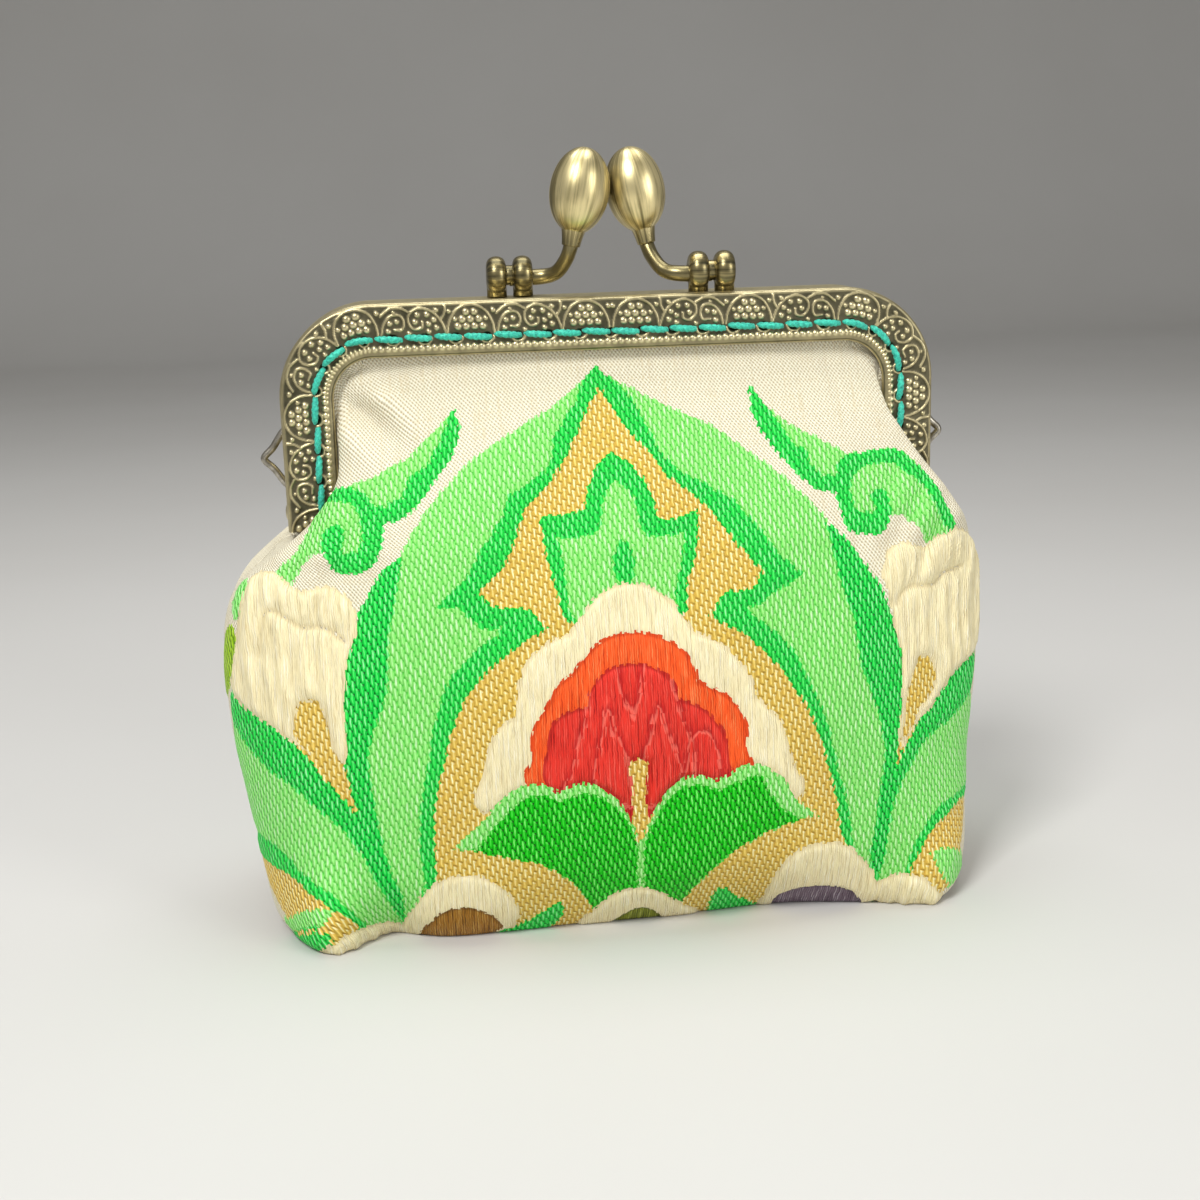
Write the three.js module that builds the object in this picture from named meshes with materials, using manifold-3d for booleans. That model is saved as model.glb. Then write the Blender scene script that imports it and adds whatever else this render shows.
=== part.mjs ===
// A small fabric purse that snaps shut on a hinged metal frame: two sewn cloth panels held in a
// brass-plated channel frame, with a kiss clasp on top, strap loops at the sides and a flat base.
// Millimetres, +Z up. The front faces -Y, X runs across the purse, and the base lies on Z = 0.
import * as THREE from "three";
import { mergeVertices } from "three/addons/utils/BufferGeometryUtils.js";
import Module from "manifold-3d";

const wasm = await Module();
wasm.setup();

// Frame: an inverted U of folded sheet, one half for each panel, open towards the cloth
const FRAME = {
  width: 85,
  top: 80.7,
  legEnd: 52,
  corner: 12,
  face: 6.6,
  depth: 5,
  metal: 0.8,
  split: 0.15,
  shoulder: 1.0,
  rimWidth: 1.2,
  rimHeight: 0.3,
};
const CORNER_STEPS = 6;

// Sewing holes along the face of each half
const SEWING = { fromEdge: 4.5, count: 31, endMargin: 2.4, radius: 0.55, sides: 5 };

// Stamped relief of the frame: one vine that waves along the face, with a berry in each bend
const VINE = {
  fromEdge: 2.45,
  swing: 0.95,
  waves: 9,
  width: 0.5,
  height: 0.28,
  root: 0.3,
  stepsPerWave: 6,
  endGap: 0.02,
};
const BERRY = { radius: 0.55, height: 0.3, sides: 6, offset: 0.65 };

// Hinge: overlapping ears at the leg ends, held by a rivet
const HINGE = {
  height: 53.9,
  earRadius: 1.6,
  earRoot: 2.6,
  earGap: 0.25,
  shank: 0.6,
  bore: 0.8,
  head: 1.2,
  headHeight: 0.4,
  headGap: 0.1,
};

// Kiss clasp: a spool riveted to the frame, a bent arm and an egg-shaped knob pushed on the arm
const CLASP = { x: 0.6, halfSpan: 12.9 };
const SPOOL = {
  height: 2.65,
  disc: 2.5,
  discWidth: 2.7,
  discSteps: 6,
  spacing: 3.8,
  neck: 1.3,
  post: 0.8,
  postHole: 1.05,
  postEnd: 0.3,
};
const ARM = { radius: 1.0, sides: 8, steps: 10, drop: 0.3, tipGap: 0.5 };
// The arm's way from its spool towards the knob
const ARM_ROUTE = [
  // across, towards the front, up
  [4.0, 0.1, 0.0],
  [6.0, 1.2, 0.5],
  [7.2, 2.7, 2.1],
];
const KNOB = {
  radius: 3.75,
  length: 10.5,
  eggSteps: 9,
  collar: 2.0,
  collarRadius: 1.6,
  bore: 1.2,
  boreDepth: 2.6,
  sides: 12,
  fromMiddle: 5.35,
  forward: 0.85,
  aboveFrame: 6.2,
  lean: [2.2, -0.15, 11.3],
};

// Strap loops: bent wire through the side wall of the back half
const LOOP = {
  wire: 0.48,
  height: 60.8,
  halfSpan: 3.7,
  reach: 3.4,
  tail: 0.7,
  bendIn: 1.2,
  bendSpan: 1.4,
  y: 1.9,
  hole: 0.75,
  sides: 6,
  steps: 16,
};

// Cloth panels: middle of the wall, as sections from the frame's channel down to the base
const CLOTH = {
  wall: 1.0,
  slotY: 2.9,
  slotInset: 2.7,
  rimX: 34.9,
  rimY: 3.7,
  faceY: 6.3,
  foldReach: 1.4,
  dentReach: 12,
  halfBulge: 7,
  seamGap: 0.16,
  hangs: 1.4,
};
// Each row is one level section of the front panel. left and right are how far the bulge reaches to
// each side, the lips are how far forward it ends there, depth is how far forward its middle stands, the
// seams are the sewn edges' distances from the middle, with none where the edge runs in the frame, and
// power squares the bulge up from an ellipse.
const NONE = 0;
const SECTIONS = [
  // z, left, right, leftLip, rightLip, depth, leftSeam, rightSeam, power
  [77.9, 27.0, 27.0, 2.9, 2.9, 2.9, NONE, NONE, 2.0],
  [74.6, 31.4, 31.4, 2.9, 2.9, 2.9, NONE, NONE, 2.0],
  [72.9, 31.8, 31.8, 2.9, 2.9, 3.1, NONE, NONE, 2.0],
  [70.8, 34.1, 34.2, 2.95, 3.3, 4.0, NONE, NONE, 2.2],
  [67.8, 34.7, 34.8, 3.2, 4.7, 5.7, NONE, NONE, 2.3],
  [65.0, 34.8, 35.5, 3.8, 6.3, 7.6, NONE, NONE, 2.4],
  [62.0, 34.9, 37.2, 4.9, 7.5, 9.6, NONE, NONE, 2.4],
  [59.5, 35.1, 38.8, 6.1, 8.0, 11.2, NONE, NONE, 2.4],
  [57.0, 36.1, 40.7, 7.2, 8.3, 12.7, NONE, NONE, 2.4],
  [54.5, 37.9, 42.7, 7.9, 8.4, 14.1, NONE, NONE, 2.4],
  [51.5, 41.2, 44.8, 8.2, 8.2, 15.7, NONE, NONE, 2.3],
  [50.0, 43.4, 45.8, 7.6, 7.2, 16.5, 43.6, 43.6, 2.3],
  [48.2, 45.9, 46.6, 6.0, 5.8, 17.2, 45.2, 44.8, 2.3],
  [46.0, 48.4, 47.3, 4.6, 4.6, 18.1, 47.3, 46.2, 2.3],
  [43.0, 50.3, 48.1, 3.2, 3.2, 19.1, 49.7, 47.7, 2.3],
  [39.0, 51.3, 48.6, 2.2, 2.2, 20.2, 51.2, 48.5, 2.3],
  [34.0, 51.6, 48.8, 1.6, 1.6, 21.1, 51.6, 48.8, 2.4],
  [27.0, 51.3, 48.5, 1.4, 1.4, 21.8, 51.3, 48.5, 2.5],
  [19.0, 50.0, 47.3, 1.4, 1.4, 22.0, 50.0, 47.3, 2.7],
  [11.0, 48.7, 46.8, 1.4, 1.4, 21.4, 48.7, 46.8, 3.1],
  [5.0, 47.7, 46.2, 1.4, 1.4, 20.0, 47.7, 46.2, 3.8],
  [1.9, 46.6, 45.4, 1.4, 1.4, 18.6, 46.6, 45.4, 4.4],
  [0.5, 44.6, 43.6, 1.3, 1.3, 17.2, 44.6, 43.6, 4.6],
  [0.5, 41.8, 40.9, 1.2, 1.2, 15.6, 41.8, 40.9, 4.4],
  [0.5, 15.0, 15.0, 0.16, 0.16, 0.16, 15.5, 15.5, 2.0],
];
// Each row is one soft dent of a panel, seen from its own outside: where it lies, its reach and depth.
// A depth below zero is a swelling, as at the boxed corners of the base.
const DENTS = {
  front: [
    // x, z, reachX, reachZ, depth
    [-29, 65, 5, 6, 1.1],
    [-1, 0, 22, 7, 2.2],
    [-32, 0, 4.5, 6, 3.0],
    [20, 0, 12, 7, 3.2],
    [-40, 0, 4.5, 9, -4.4],
    [40, 0, 4.5, 9, -2.6],
    [-29, 12, 8, 8, 0.7],
    [30, 14, 8, 9, 0.7],
    [41, 24, 6, 10, 0.7],
  ],
  back: [
    // x, z, reachX, reachZ, depth
    [28, 63, 5, 6, 0.9],
    [3, 0, 22, 7, 2.0],
    [-40, 0, 4.5, 9, -3.0],
    [40, 0, 4.5, 9, -3.4],
    [-27, 13, 8, 9, 0.9],
    [-41, 24, 6, 10, 0.7],
  ],
};

const BRASS = new THREE.MeshStandardMaterial({ color: 0x8f8257, metalness: 0.9, roughness: 0.42 });
const NICKEL = new THREE.MeshStandardMaterial({ color: 0xa39f95, metalness: 0.9, roughness: 0.35 });
const BROCADE = new THREE.MeshStandardMaterial({ color: 0x86d987, metalness: 0, roughness: 0.75 });

// Solids and geometries

function solidOf(geometry) {
  const bare = geometry.index ? geometry.toNonIndexed() : geometry;
  const points = new THREE.BufferGeometry().setAttribute("position", bare.getAttribute("position"));
  const merged = mergeVertices(points, 1e-4);
  return new wasm.Manifold(
    new wasm.Mesh({
      numProp: 3,
      vertProperties: new Float32Array(merged.attributes.position.array),
      triVerts: new Uint32Array(merged.index.array),
    }),
  );
}

function geometryOf(solid) {
  const mesh = solid.getMesh();
  const geometry = new THREE.BufferGeometry();
  geometry.setAttribute("position", new THREE.BufferAttribute(mesh.vertProperties, 3));
  geometry.setIndex(new THREE.BufferAttribute(mesh.triVerts, 1));
  geometry.computeVertexNormals();
  return geometry;
}

function facetedGeometry(points, triangles) {
  const geometry = new THREE.BufferGeometry();
  geometry.setAttribute("position", new THREE.Float32BufferAttribute(points.flatMap((p) => p.toArray()), 3));
  geometry.setIndex(triangles.flat());
  geometry.computeVertexNormals();
  return geometry;
}

// Signed volume of a closed triangle list, to tell whether its faces point out
function signedVolume(points, triangles) {
  const cross = new THREE.Vector3();
  return triangles.reduce(
    (sum, [a, b, c]) => sum + points[a].dot(cross.crossVectors(points[b], points[c])) / 6,
    0,
  );
}

function facingOut(points, triangles) {
  const outward = signedVolume(points, triangles) > 0;
  return facetedGeometry(points, outward ? triangles : triangles.map(([a, b, c]) => [a, c, b]));
}

// A closed solid through rings of equal point count. The flat outline gives the triangles of both end caps.
function loft(rings, outline) {
  const count = outline.length;
  const points = rings.flat();
  const triangles = [];
  for (let row = 0; row + 1 < rings.length; row++) {
    for (let i = 0; i < count; i++) {
      const next = (i + 1) % count;
      const [a, b] = [row * count + i, row * count + next];
      triangles.push([a, b, b + count], [a, b + count, a + count]);
    }
  }
  const last = (rings.length - 1) * count;
  for (const [a, b, c] of THREE.ShapeUtils.triangulateShape(outline, [])) {
    triangles.push([a, c, b], [last + a, last + b, last + c]);
  }
  return facingOut(points, triangles);
}

function circleOutline(radius, sides) {
  return Array.from({ length: sides }, (_, i) => {
    const turn = (2 * Math.PI * i) / sides;
    return new THREE.Vector2(radius * Math.cos(turn), radius * Math.sin(turn));
  });
}

// A round wire along a curve, with closed ends
function wireAlong(curve, radius, sides, steps) {
  const shape = new THREE.Shape(circleOutline(radius, sides));
  return new THREE.ExtrudeGeometry(shape, { steps, extrudePath: curve, bevelEnabled: false });
}

// The turn that brings the Y axis, about which lathed and round pieces are made, to a direction
function turnFromY(direction) {
  return new THREE.Quaternion().setFromUnitVectors(new THREE.Vector3(0, 1, 0), direction);
}

// A plain cylinder between two points
function pinBetween(from, to, radius, sides) {
  const axis = to.clone().sub(from);
  const pin = new THREE.CylinderGeometry(radius, radius, axis.length(), sides);
  pin.applyQuaternion(turnFromY(axis.clone().normalize()));
  const middle = from.clone().lerp(to, 0.5);
  return pin.translate(middle.x, middle.y, middle.z);
}

// Frame halves

const LEG_X = FRAME.width / 2;
const ARC_X = LEG_X - FRAME.corner;
const ARC_Z = FRAME.top - FRAME.corner;

// A point of the frame's outline, run from the left leg's end over the top to the right leg's end, at a
// distance in from the outer edge. The run is measured along that inset line.
function outlinePoint(run, inset) {
  const leg = ARC_Z - FRAME.legEnd;
  const radius = FRAME.corner - inset;
  const arc = (Math.PI / 2) * radius;
  const half = leg + arc + ARC_X;
  const side = run < half ? -1 : 1;
  const left = run < half ? run : 2 * half - run;
  if (left <= leg) {
    return { x: side * (ARC_X + radius), z: FRAME.legEnd + left, normal: [side, 0] };
  }
  if (left <= leg + arc) {
    const turn = (left - leg) / radius;
    const normal = [side * Math.cos(turn), Math.sin(turn)];
    return { x: side * ARC_X + radius * normal[0], z: ARC_Z + radius * normal[1], normal };
  }
  return { x: side * (half - left), z: ARC_Z + radius, normal: [0, 1] };
}

function outlineLength(inset) {
  return 2 * (ARC_Z - FRAME.legEnd + (Math.PI / 2) * (FRAME.corner - inset) + ARC_X);
}

// The folded sheet in section: x is minus the distance in from the outer edge, y is the depth forward of
// the split
function channelOutline() {
  const { face, depth, metal, split, shoulder, rimWidth, rimHeight } = FRAME;
  const bend = Array.from({ length: 4 }, (_, i) => {
    const turn = (Math.PI / 2) * (i / 3);
    return [shoulder * (Math.cos(turn) - 1), depth - shoulder + shoulder * Math.sin(turn)];
  });
  const rim = [
    [rimWidth - face, depth],
    [0.75 * rimWidth - face, depth + rimHeight],
    [0.2 * rimWidth - face, depth + rimHeight],
    [-face, depth],
  ];
  const inside = [
    [-face, depth - metal],
    [-metal, depth - metal],
    [-metal, split + metal],
    [-face, split + metal],
    [-face, split],
  ];
  return [[0, split], ...bend, ...rim, ...inside].map(([x, y]) => new THREE.Vector2(x, y));
}

function channelSolid(outline) {
  const leg = ARC_Z - FRAME.legEnd;
  const arc = (Math.PI / 2) * FRAME.corner;
  const total = outlineLength(0);
  const runs = [0];
  for (let i = 0; i <= CORNER_STEPS; i++) runs.push(leg + (arc * i) / CORNER_STEPS);
  const stations = [...runs, ...runs.map((run) => total - run).reverse()];
  const rings = stations.map((run) => {
    const { x, z, normal } = outlinePoint(run, 0);
    return outline.map((p) => new THREE.Vector3(x + normal[0] * p.x, -p.y, z + normal[1] * p.x));
  });
  return solidOf(loft(rings, outline));
}

// Sewing holes through the face
function sewingPins() {
  const { fromEdge, count, endMargin, radius, sides } = SEWING;
  const pitch = (outlineLength(fromEdge) - 2 * endMargin) / (count - 1);
  const front = -FRAME.depth;
  return Array.from({ length: count }, (_, i) => {
    const { x, z } = outlinePoint(endMargin + pitch * i, fromEdge);
    const from = new THREE.Vector3(x, front + 2 * FRAME.metal, z);
    const to = new THREE.Vector3(x, front - FRAME.metal, z);
    return solidOf(pinBetween(from, to, radius, sides));
  });
}

// A place on the face beside the vine's middle line, at a share of its length
function vinePlace(share, sway) {
  const { fromEdge, endGap } = VINE;
  const run = outlineLength(fromEdge) * (endGap + (1 - 2 * endGap) * share);
  const { x, z, normal } = outlinePoint(run, fromEdge);
  return new THREE.Vector3(x + normal[0] * sway, -FRAME.depth, z + normal[1] * sway);
}

// The raised vine: a low ridge on a sine wave along the face
function vineSolid() {
  const { swing, waves, width, height, root, stepsPerWave } = VINE;
  const steps = waves * stepsPerWave;
  const place = (i) => vinePlace(i / steps, swing * Math.sin((2 * Math.PI * i) / stepsPerWave));
  const section = [
    [-0.5 * width, -root],
    [0.5 * width, -root],
    [0.5 * width, 0],
    [0, height],
    [-0.5 * width, 0],
  ].map(([x, y]) => new THREE.Vector2(x, y));
  const rings = Array.from({ length: steps + 1 }, (_, i) => {
    const middle = place(i);
    const along = place(Math.min(i + 1, steps)).sub(place(Math.max(i - 1, 0))).normalize();
    const across = new THREE.Vector3(0, 1, 0).cross(along);
    return section.map((p) => {
      const out = new THREE.Vector3(0, -p.y, 0);
      return middle.clone().addScaledVector(across, p.x).add(out);
    });
  });
  return solidOf(loft(rings, section));
}

// One low pointed berry in each bend of the vine
function berrySolids() {
  const bends = 2 * VINE.waves;
  return Array.from({ length: bends }, (_, i) => {
    const place = vinePlace((i + 0.5) / bends, (i % 2 ? 1 : -1) * BERRY.offset);
    const berry = new THREE.ConeGeometry(BERRY.radius, 2 * BERRY.height, BERRY.sides);
    return solidOf(berry.rotateX(Math.PI).translate(place.x, place.y, place.z));
  });
}

// The inset of each half's hinge ears from the leg's side: the front half's lie in the side wall's own
// plane, and the back half's just inside them
const FRONT_EAR = 0;
const BACK_EAR = FRAME.metal + HINGE.earGap;

// A hinge ear: a flat tongue with a round end that reaches back across the split
function earSolid(side, inset) {
  const { height, earRadius, earRoot } = HINGE;
  const ear = new THREE.Shape();
  ear.moveTo(-earRoot, height - earRadius);
  ear.lineTo(0, height - earRadius);
  ear.absarc(0, height, earRadius, -Math.PI / 2, Math.PI / 2, false);
  ear.lineTo(-earRoot, height + earRadius);
  const options = { depth: FRAME.metal, bevelEnabled: false, curveSegments: 8 };
  const plate = new THREE.ExtrudeGeometry(ear, options);
  // The shape's x becomes Y, its y becomes Z, and its thickness lies along X
  const turn = new THREE.Matrix4().makeBasis(
    new THREE.Vector3(0, 1, 0),
    new THREE.Vector3(0, 0, 1),
    new THREE.Vector3(1, 0, 0),
  );
  const nearest = side > 0 ? LEG_X - inset - FRAME.metal : inset - LEG_X;
  return solidOf(plate.applyMatrix4(turn).translate(nearest, 0, 0));
}

// Room for the other half's ear, cut into this half's own walls
function earRoom(side, otherInset) {
  const { height, earRadius, earGap } = HINGE;
  const span = earRadius + 2 * earGap;
  const room = new THREE.BoxGeometry(FRAME.metal + 2 * earGap, span, 2 * span);
  const middle = side * (LEG_X - otherInset - FRAME.metal / 2);
  return solidOf(room.translate(middle, -span / 2, height));
}

const RIVET_INNER = LEG_X - BACK_EAR - FRAME.metal - HINGE.headGap;
const RIVET_OUTER = LEG_X + HINGE.headGap;

// A straight pin on the hinge's axis, between two distances from the middle of the purse
function hingePin(side, from, to, radius, sides) {
  const at = (x) => new THREE.Vector3(side * x, 0, HINGE.height);
  return solidOf(pinBetween(at(from), at(to), radius, sides));
}

// Bore for the rivet's shank, and room for its inner head
function hingeBores(side) {
  const { bore, head, headHeight, headGap } = HINGE;
  return [
    hingePin(side, RIVET_INNER - 1, RIVET_OUTER + 1, bore, 10),
    hingePin(side, RIVET_INNER - headHeight - 2 * headGap, RIVET_INNER + headGap, head + 2 * headGap, 12),
  ];
}

// One half of the frame, facing the front. The back half is the same stamping turned half round, with
// its ears set in, its own clasp's post holes and the holes for the strap loops.
function frameHalf({ ownEar, otherEar, spoolX, cuts }) {
  let half = channelSolid(channelOutline()).add(vineSolid());
  for (const berry of berrySolids()) half = half.add(berry);
  for (const pin of sewingPins()) half = half.subtract(pin);
  for (const side of [-1, 1]) {
    half = half.subtract(earRoom(side, otherEar)).add(earSolid(side, ownEar));
    for (const bore of hingeBores(side)) half = half.subtract(bore);
  }
  for (const hole of [...postHoles(spoolX), ...cuts]) half = half.subtract(hole);
  return geometryOf(half);
}

// Hinge rivets

function rivet(side) {
  const { shank, head, headHeight } = HINGE;
  const body = hingePin(side, RIVET_INNER - headHeight, RIVET_OUTER + headHeight, shank, 10);
  const innerHead = hingePin(side, RIVET_INNER - headHeight, RIVET_INNER, head, 12);
  const outerHead = hingePin(side, RIVET_OUTER, RIVET_OUTER + headHeight, head, 12);
  return geometryOf(body.add(innerHead).add(outerHead));
}

// Kiss clasp: both halves carry the same casting, the front one turned half round about the clasp's
// middle. It is drawn here for the back half, to the left of the middle.

const CLASP_Y = FRAME.depth / 2;
const SPOOL_Z = FRAME.top + SPOOL.height;

function postHoles(spoolX) {
  return [-1, 1].map((side) => {
    const x = spoolX + (side * SPOOL.spacing) / 2;
    const from = new THREE.Vector3(x, -CLASP_Y, FRAME.top - 2 * FRAME.metal);
    const to = new THREE.Vector3(x, -CLASP_Y, FRAME.top + FRAME.metal);
    return solidOf(pinBetween(from, to, SPOOL.postHole, 10));
  });
}

// The knob stands on the arm's end and leans towards the other knob
const KNOB_BASE = new THREE.Vector3(CLASP.x - KNOB.fromMiddle, -KNOB.forward, FRAME.top + KNOB.aboveFrame);
const KNOB_AXIS = new THREE.Vector3(...KNOB.lean).normalize();

// The arm runs from its spool across the split and bends up into the knob, in front of the other half's knob
function armCurve() {
  const spool = new THREE.Vector3(CLASP.x - CLASP.halfSpan, CLASP_Y, SPOOL_Z - ARM.drop);
  const way = ARM_ROUTE.map(([x, forward, up]) => spool.clone().add(new THREE.Vector3(x, -forward, up)));
  const tip = KNOB_BASE.clone().addScaledVector(KNOB_AXIS, KNOB.boreDepth - ARM.tipGap);
  return new THREE.CatmullRomCurve3([spool, ...way, KNOB_BASE, tip], false, "centripetal");
}

function armSolid() {
  const { disc, discWidth, discSteps, spacing, neck, post, postEnd } = SPOOL;
  const wheel = Array.from({ length: discSteps + 1 }, (_, i) => {
    const turn = (Math.PI * i) / discSteps;
    const reach = i % discSteps ? disc * Math.sin(turn) ** 0.7 : 0;
    return new THREE.Vector2(reach, (-discWidth / 2) * Math.cos(turn));
  });
  let arm = solidOf(wireAlong(armCurve(), ARM.radius, ARM.sides, ARM.steps));
  const places = [-1, 1].map((side) => {
    const x = CLASP.x - CLASP.halfSpan + (side * spacing) / 2;
    return new THREE.Vector3(x, CLASP_Y, SPOOL_Z);
  });
  arm = arm.add(solidOf(pinBetween(places[0], places[1], neck, 10)));
  for (const place of places) {
    const wheelSolid = new THREE.LatheGeometry(wheel, 10).rotateZ(-Math.PI / 2);
    const foot = new THREE.Vector3(place.x, place.y, FRAME.top - FRAME.metal - postEnd);
    arm = arm.add(solidOf(wheelSolid.translate(place.x, place.y, place.z)));
    arm = arm.add(solidOf(pinBetween(foot, place, post, 8)));
  }
  return geometryOf(arm);
}

// The knob: an egg with a short collar, bored for the arm
function knobGeometry() {
  const { radius, length, eggSteps, collar, collarRadius, bore, boreDepth, sides } = KNOB;
  const neckTurn = Math.asin(collarRadius / radius);
  const egg = Array.from({ length: eggSteps + 1 }, (_, i) => {
    const turn = neckTurn + ((Math.PI - neckTurn) * i) / eggSteps;
    const rise = (Math.cos(neckTurn) - Math.cos(turn)) / (Math.cos(neckTurn) + 1);
    return new THREE.Vector2(i < eggSteps ? radius * Math.sin(turn) : 0, collar + length * rise);
  });
  const profile = [
    new THREE.Vector2(0, boreDepth),
    new THREE.Vector2(bore, boreDepth),
    new THREE.Vector2(bore, 0),
    new THREE.Vector2(collarRadius, 0),
    ...egg,
  ];
  const knob = new THREE.LatheGeometry(profile, sides);
  knob.applyQuaternion(turnFromY(KNOB_AXIS));
  return geometryOf(solidOf(knob.translate(KNOB_BASE.x, KNOB_BASE.y, KNOB_BASE.z)));
}

// Strap loops

function loopCurve(side) {
  const { height, halfSpan, reach, tail, bendIn, bendSpan, y, wire } = LOOP;
  const tip = LEG_X + reach - wire;
  const inner = LEG_X - FRAME.metal - tail;
  const row = (x, z) => new THREE.Vector3(side * x, y, height + z);
  return new THREE.CatmullRomCurve3([
    row(inner, halfSpan),
    row(LEG_X, halfSpan),
    row(tip - bendIn, bendSpan),
    row(tip, 0),
    row(tip - bendIn, -bendSpan),
    row(LEG_X, -halfSpan),
    row(inner, -halfSpan),
  ]);
}

// Holes for the loops' ends, in the back half before it is turned
function loopHoles() {
  const inner = LEG_X - 2 * FRAME.metal;
  const outer = LEG_X + FRAME.metal;
  return [-1, 1].flatMap((side) =>
    [-1, 1].map((end) => {
      const at = (x) => new THREE.Vector3(side * x, -LOOP.y, LOOP.height + end * LOOP.halfSpan);
      return solidOf(pinBetween(at(inner), at(outer), LOOP.hole, LOOP.sides));
    }),
  );
}

// Cloth panels

// Where a panel's edge runs inside the channel, as a distance from the middle at one height
function channelEdge(z) {
  const radius = FRAME.corner - CLOTH.slotInset;
  const rise = THREE.MathUtils.clamp((z - ARC_Z) / radius, 0, 0.999);
  return ARC_X + radius * Math.sqrt(1 - rise * rise);
}

// Half of one level section, from the middle of the panel to its sewn edge, as [across, forward]
function halfSection({ z, width, lip, depth, seam, power }) {
  const { slotY, rimX, rimY, faceY, foldReach, halfBulge, seamGap } = CLOTH;
  const bulge = Array.from({ length: halfBulge + 1 }, (_, i) => {
    const turn = (Math.PI / 2) * (i / halfBulge);
    const across = i < halfBulge ? Math.sin(turn) ** (2 / power) : 1;
    const forward = i < halfBulge ? Math.cos(turn) ** (2 / power) : 0;
    return [width * across, lip + (depth - lip) * forward];
  });
  const inFrame = seam === NONE;
  const [edgeX, edgeY] = inFrame ? [channelEdge(z), slotY] : [seam, seamGap];
  const straight = [0.2, 0.4, 0.6, 0.8, 1].map((t) => [
    THREE.MathUtils.lerp(width, edgeX, t),
    THREE.MathUtils.lerp(lip, edgeY, t),
  ]);
  if (!inFrame) return [...bulge, ...straight];
  // In the frame the cloth comes forward round the channel's inner rim, and folds back over it where the
  // bulge stands in front of the leg
  const rim = Math.min(width, rimX);
  const folded = [
    [rim + 0.55 * (width - rim), Math.min(lip - 0.3, faceY)],
    [rim, Math.min(lip - 0.6, faceY - 0.3)],
    [rim + 0.4, Math.max(slotY, Math.min(lip - 1, rimY))],
    [0.45 * rim + 0.55 * edgeX, slotY],
    [edgeX, slotY],
  ];
  const share = THREE.MathUtils.clamp((lip - slotY) / foldReach, 0, 1);
  const strip = straight.map(([x, y], i) => [
    THREE.MathUtils.lerp(x, folded[i][0], share),
    THREE.MathUtils.lerp(y, folded[i][1], share),
  ]);
  return [...bulge, ...strip];
}

function dentAt(dents, x, z) {
  return dents.reduce(
    (sum, [atX, atZ, reachX, reachZ, depth]) =>
      sum + depth * Math.exp(-(((x - atX) / reachX) ** 2) - ((z - atZ) / reachZ) ** 2),
    0,
  );
}

// The middle of a panel's wall as rows of points, from one edge to the other. It faces the front: the
// back panel is drawn with its sides swapped, so that once it is turned half round its sides match the
// front panel's.
function panelRows(dents, sidesSwapped) {
  return SECTIONS.map(([z, left, right, leftLip, rightLip, depth, leftSeam, rightSeam, power]) => {
    const leftHalf = halfSection({ z, width: left, lip: leftLip, depth, seam: leftSeam, power });
    const rightHalf = halfSection({ z, width: right, lip: rightLip, depth, seam: rightSeam, power });
    const [first, second] = sidesSwapped ? [rightHalf, leftHalf] : [leftHalf, rightHalf];
    const whole = [...first.slice(1).map(([x, y]) => [-x, y]).reverse(), ...second];
    return whole.map(([x, y]) => {
      // Dents fade out towards the frame, the seams and the middle of the base
      const fade = THREE.MathUtils.clamp((y - CLOTH.slotY) / CLOTH.dentReach, 0, 1);
      return new THREE.Vector3(x, fade * dentAt(dents, x, z) - y, z);
    });
  });
}

// Gives a sheet of points its thickness: the same wall to both sides, closed along the edges
function thickened(rows, wall) {
  const columns = rows[0].length;
  const middle = rows.flat();
  const faces = [];
  for (let r = 0; r + 1 < rows.length; r++) {
    for (let c = 0; c + 1 < columns; c++) {
      const a = r * columns + c;
      const [b, d, e] = [a + 1, a + columns, a + columns + 1];
      faces.push([a, d, b], [b, d, e]);
    }
  }
  const normals = facetedGeometry(middle, faces).getAttribute("normal");
  const normal = new THREE.Vector3();
  const moved = (by) =>
    middle.map((point, i) => point.clone().addScaledVector(normal.fromBufferAttribute(normals, i), by));
  const points = [...moved(wall / 2), ...moved(-wall / 2)];
  const under = middle.length;
  const border = [];
  for (let c = 0; c + 1 < columns; c++) border.push(c);
  for (let r = 0; r + 1 < rows.length; r++) border.push(r * columns + columns - 1);
  for (let c = columns - 1; c > 0; c--) border.push((rows.length - 1) * columns + c);
  for (let r = rows.length - 1; r > 0; r--) border.push(r * columns);
  const triangles = [...faces, ...faces.map(([a, b, c]) => [a + under, c + under, b + under])];
  border.forEach((a, i) => {
    const b = border[(i + 1) % border.length];
    triangles.push([a, b, b + under], [a, b + under, a + under]);
  });
  return facingOut(points, triangles);
}

// Assembly

function piece(name, geometry, material) {
  const mesh = new THREE.Mesh(geometry, material);
  mesh.name = name;
  return mesh;
}

// The same piece turned half round about a vertical axis
function turnedPiece(name, geometry, material, axisX = 0) {
  const mesh = piece(name, geometry, material);
  mesh.rotation.z = Math.PI;
  mesh.position.x = 2 * axisX;
  return mesh;
}

const frontSpool = CLASP.halfSpan + CLASP.x;
const backSpool = CLASP.halfSpan - CLASP.x;
const frontHalf = frameHalf({ ownEar: FRONT_EAR, otherEar: BACK_EAR, spoolX: frontSpool, cuts: [] });
const backHalf = frameHalf({ ownEar: BACK_EAR, otherEar: FRONT_EAR, spoolX: backSpool, cuts: loopHoles() });

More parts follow.
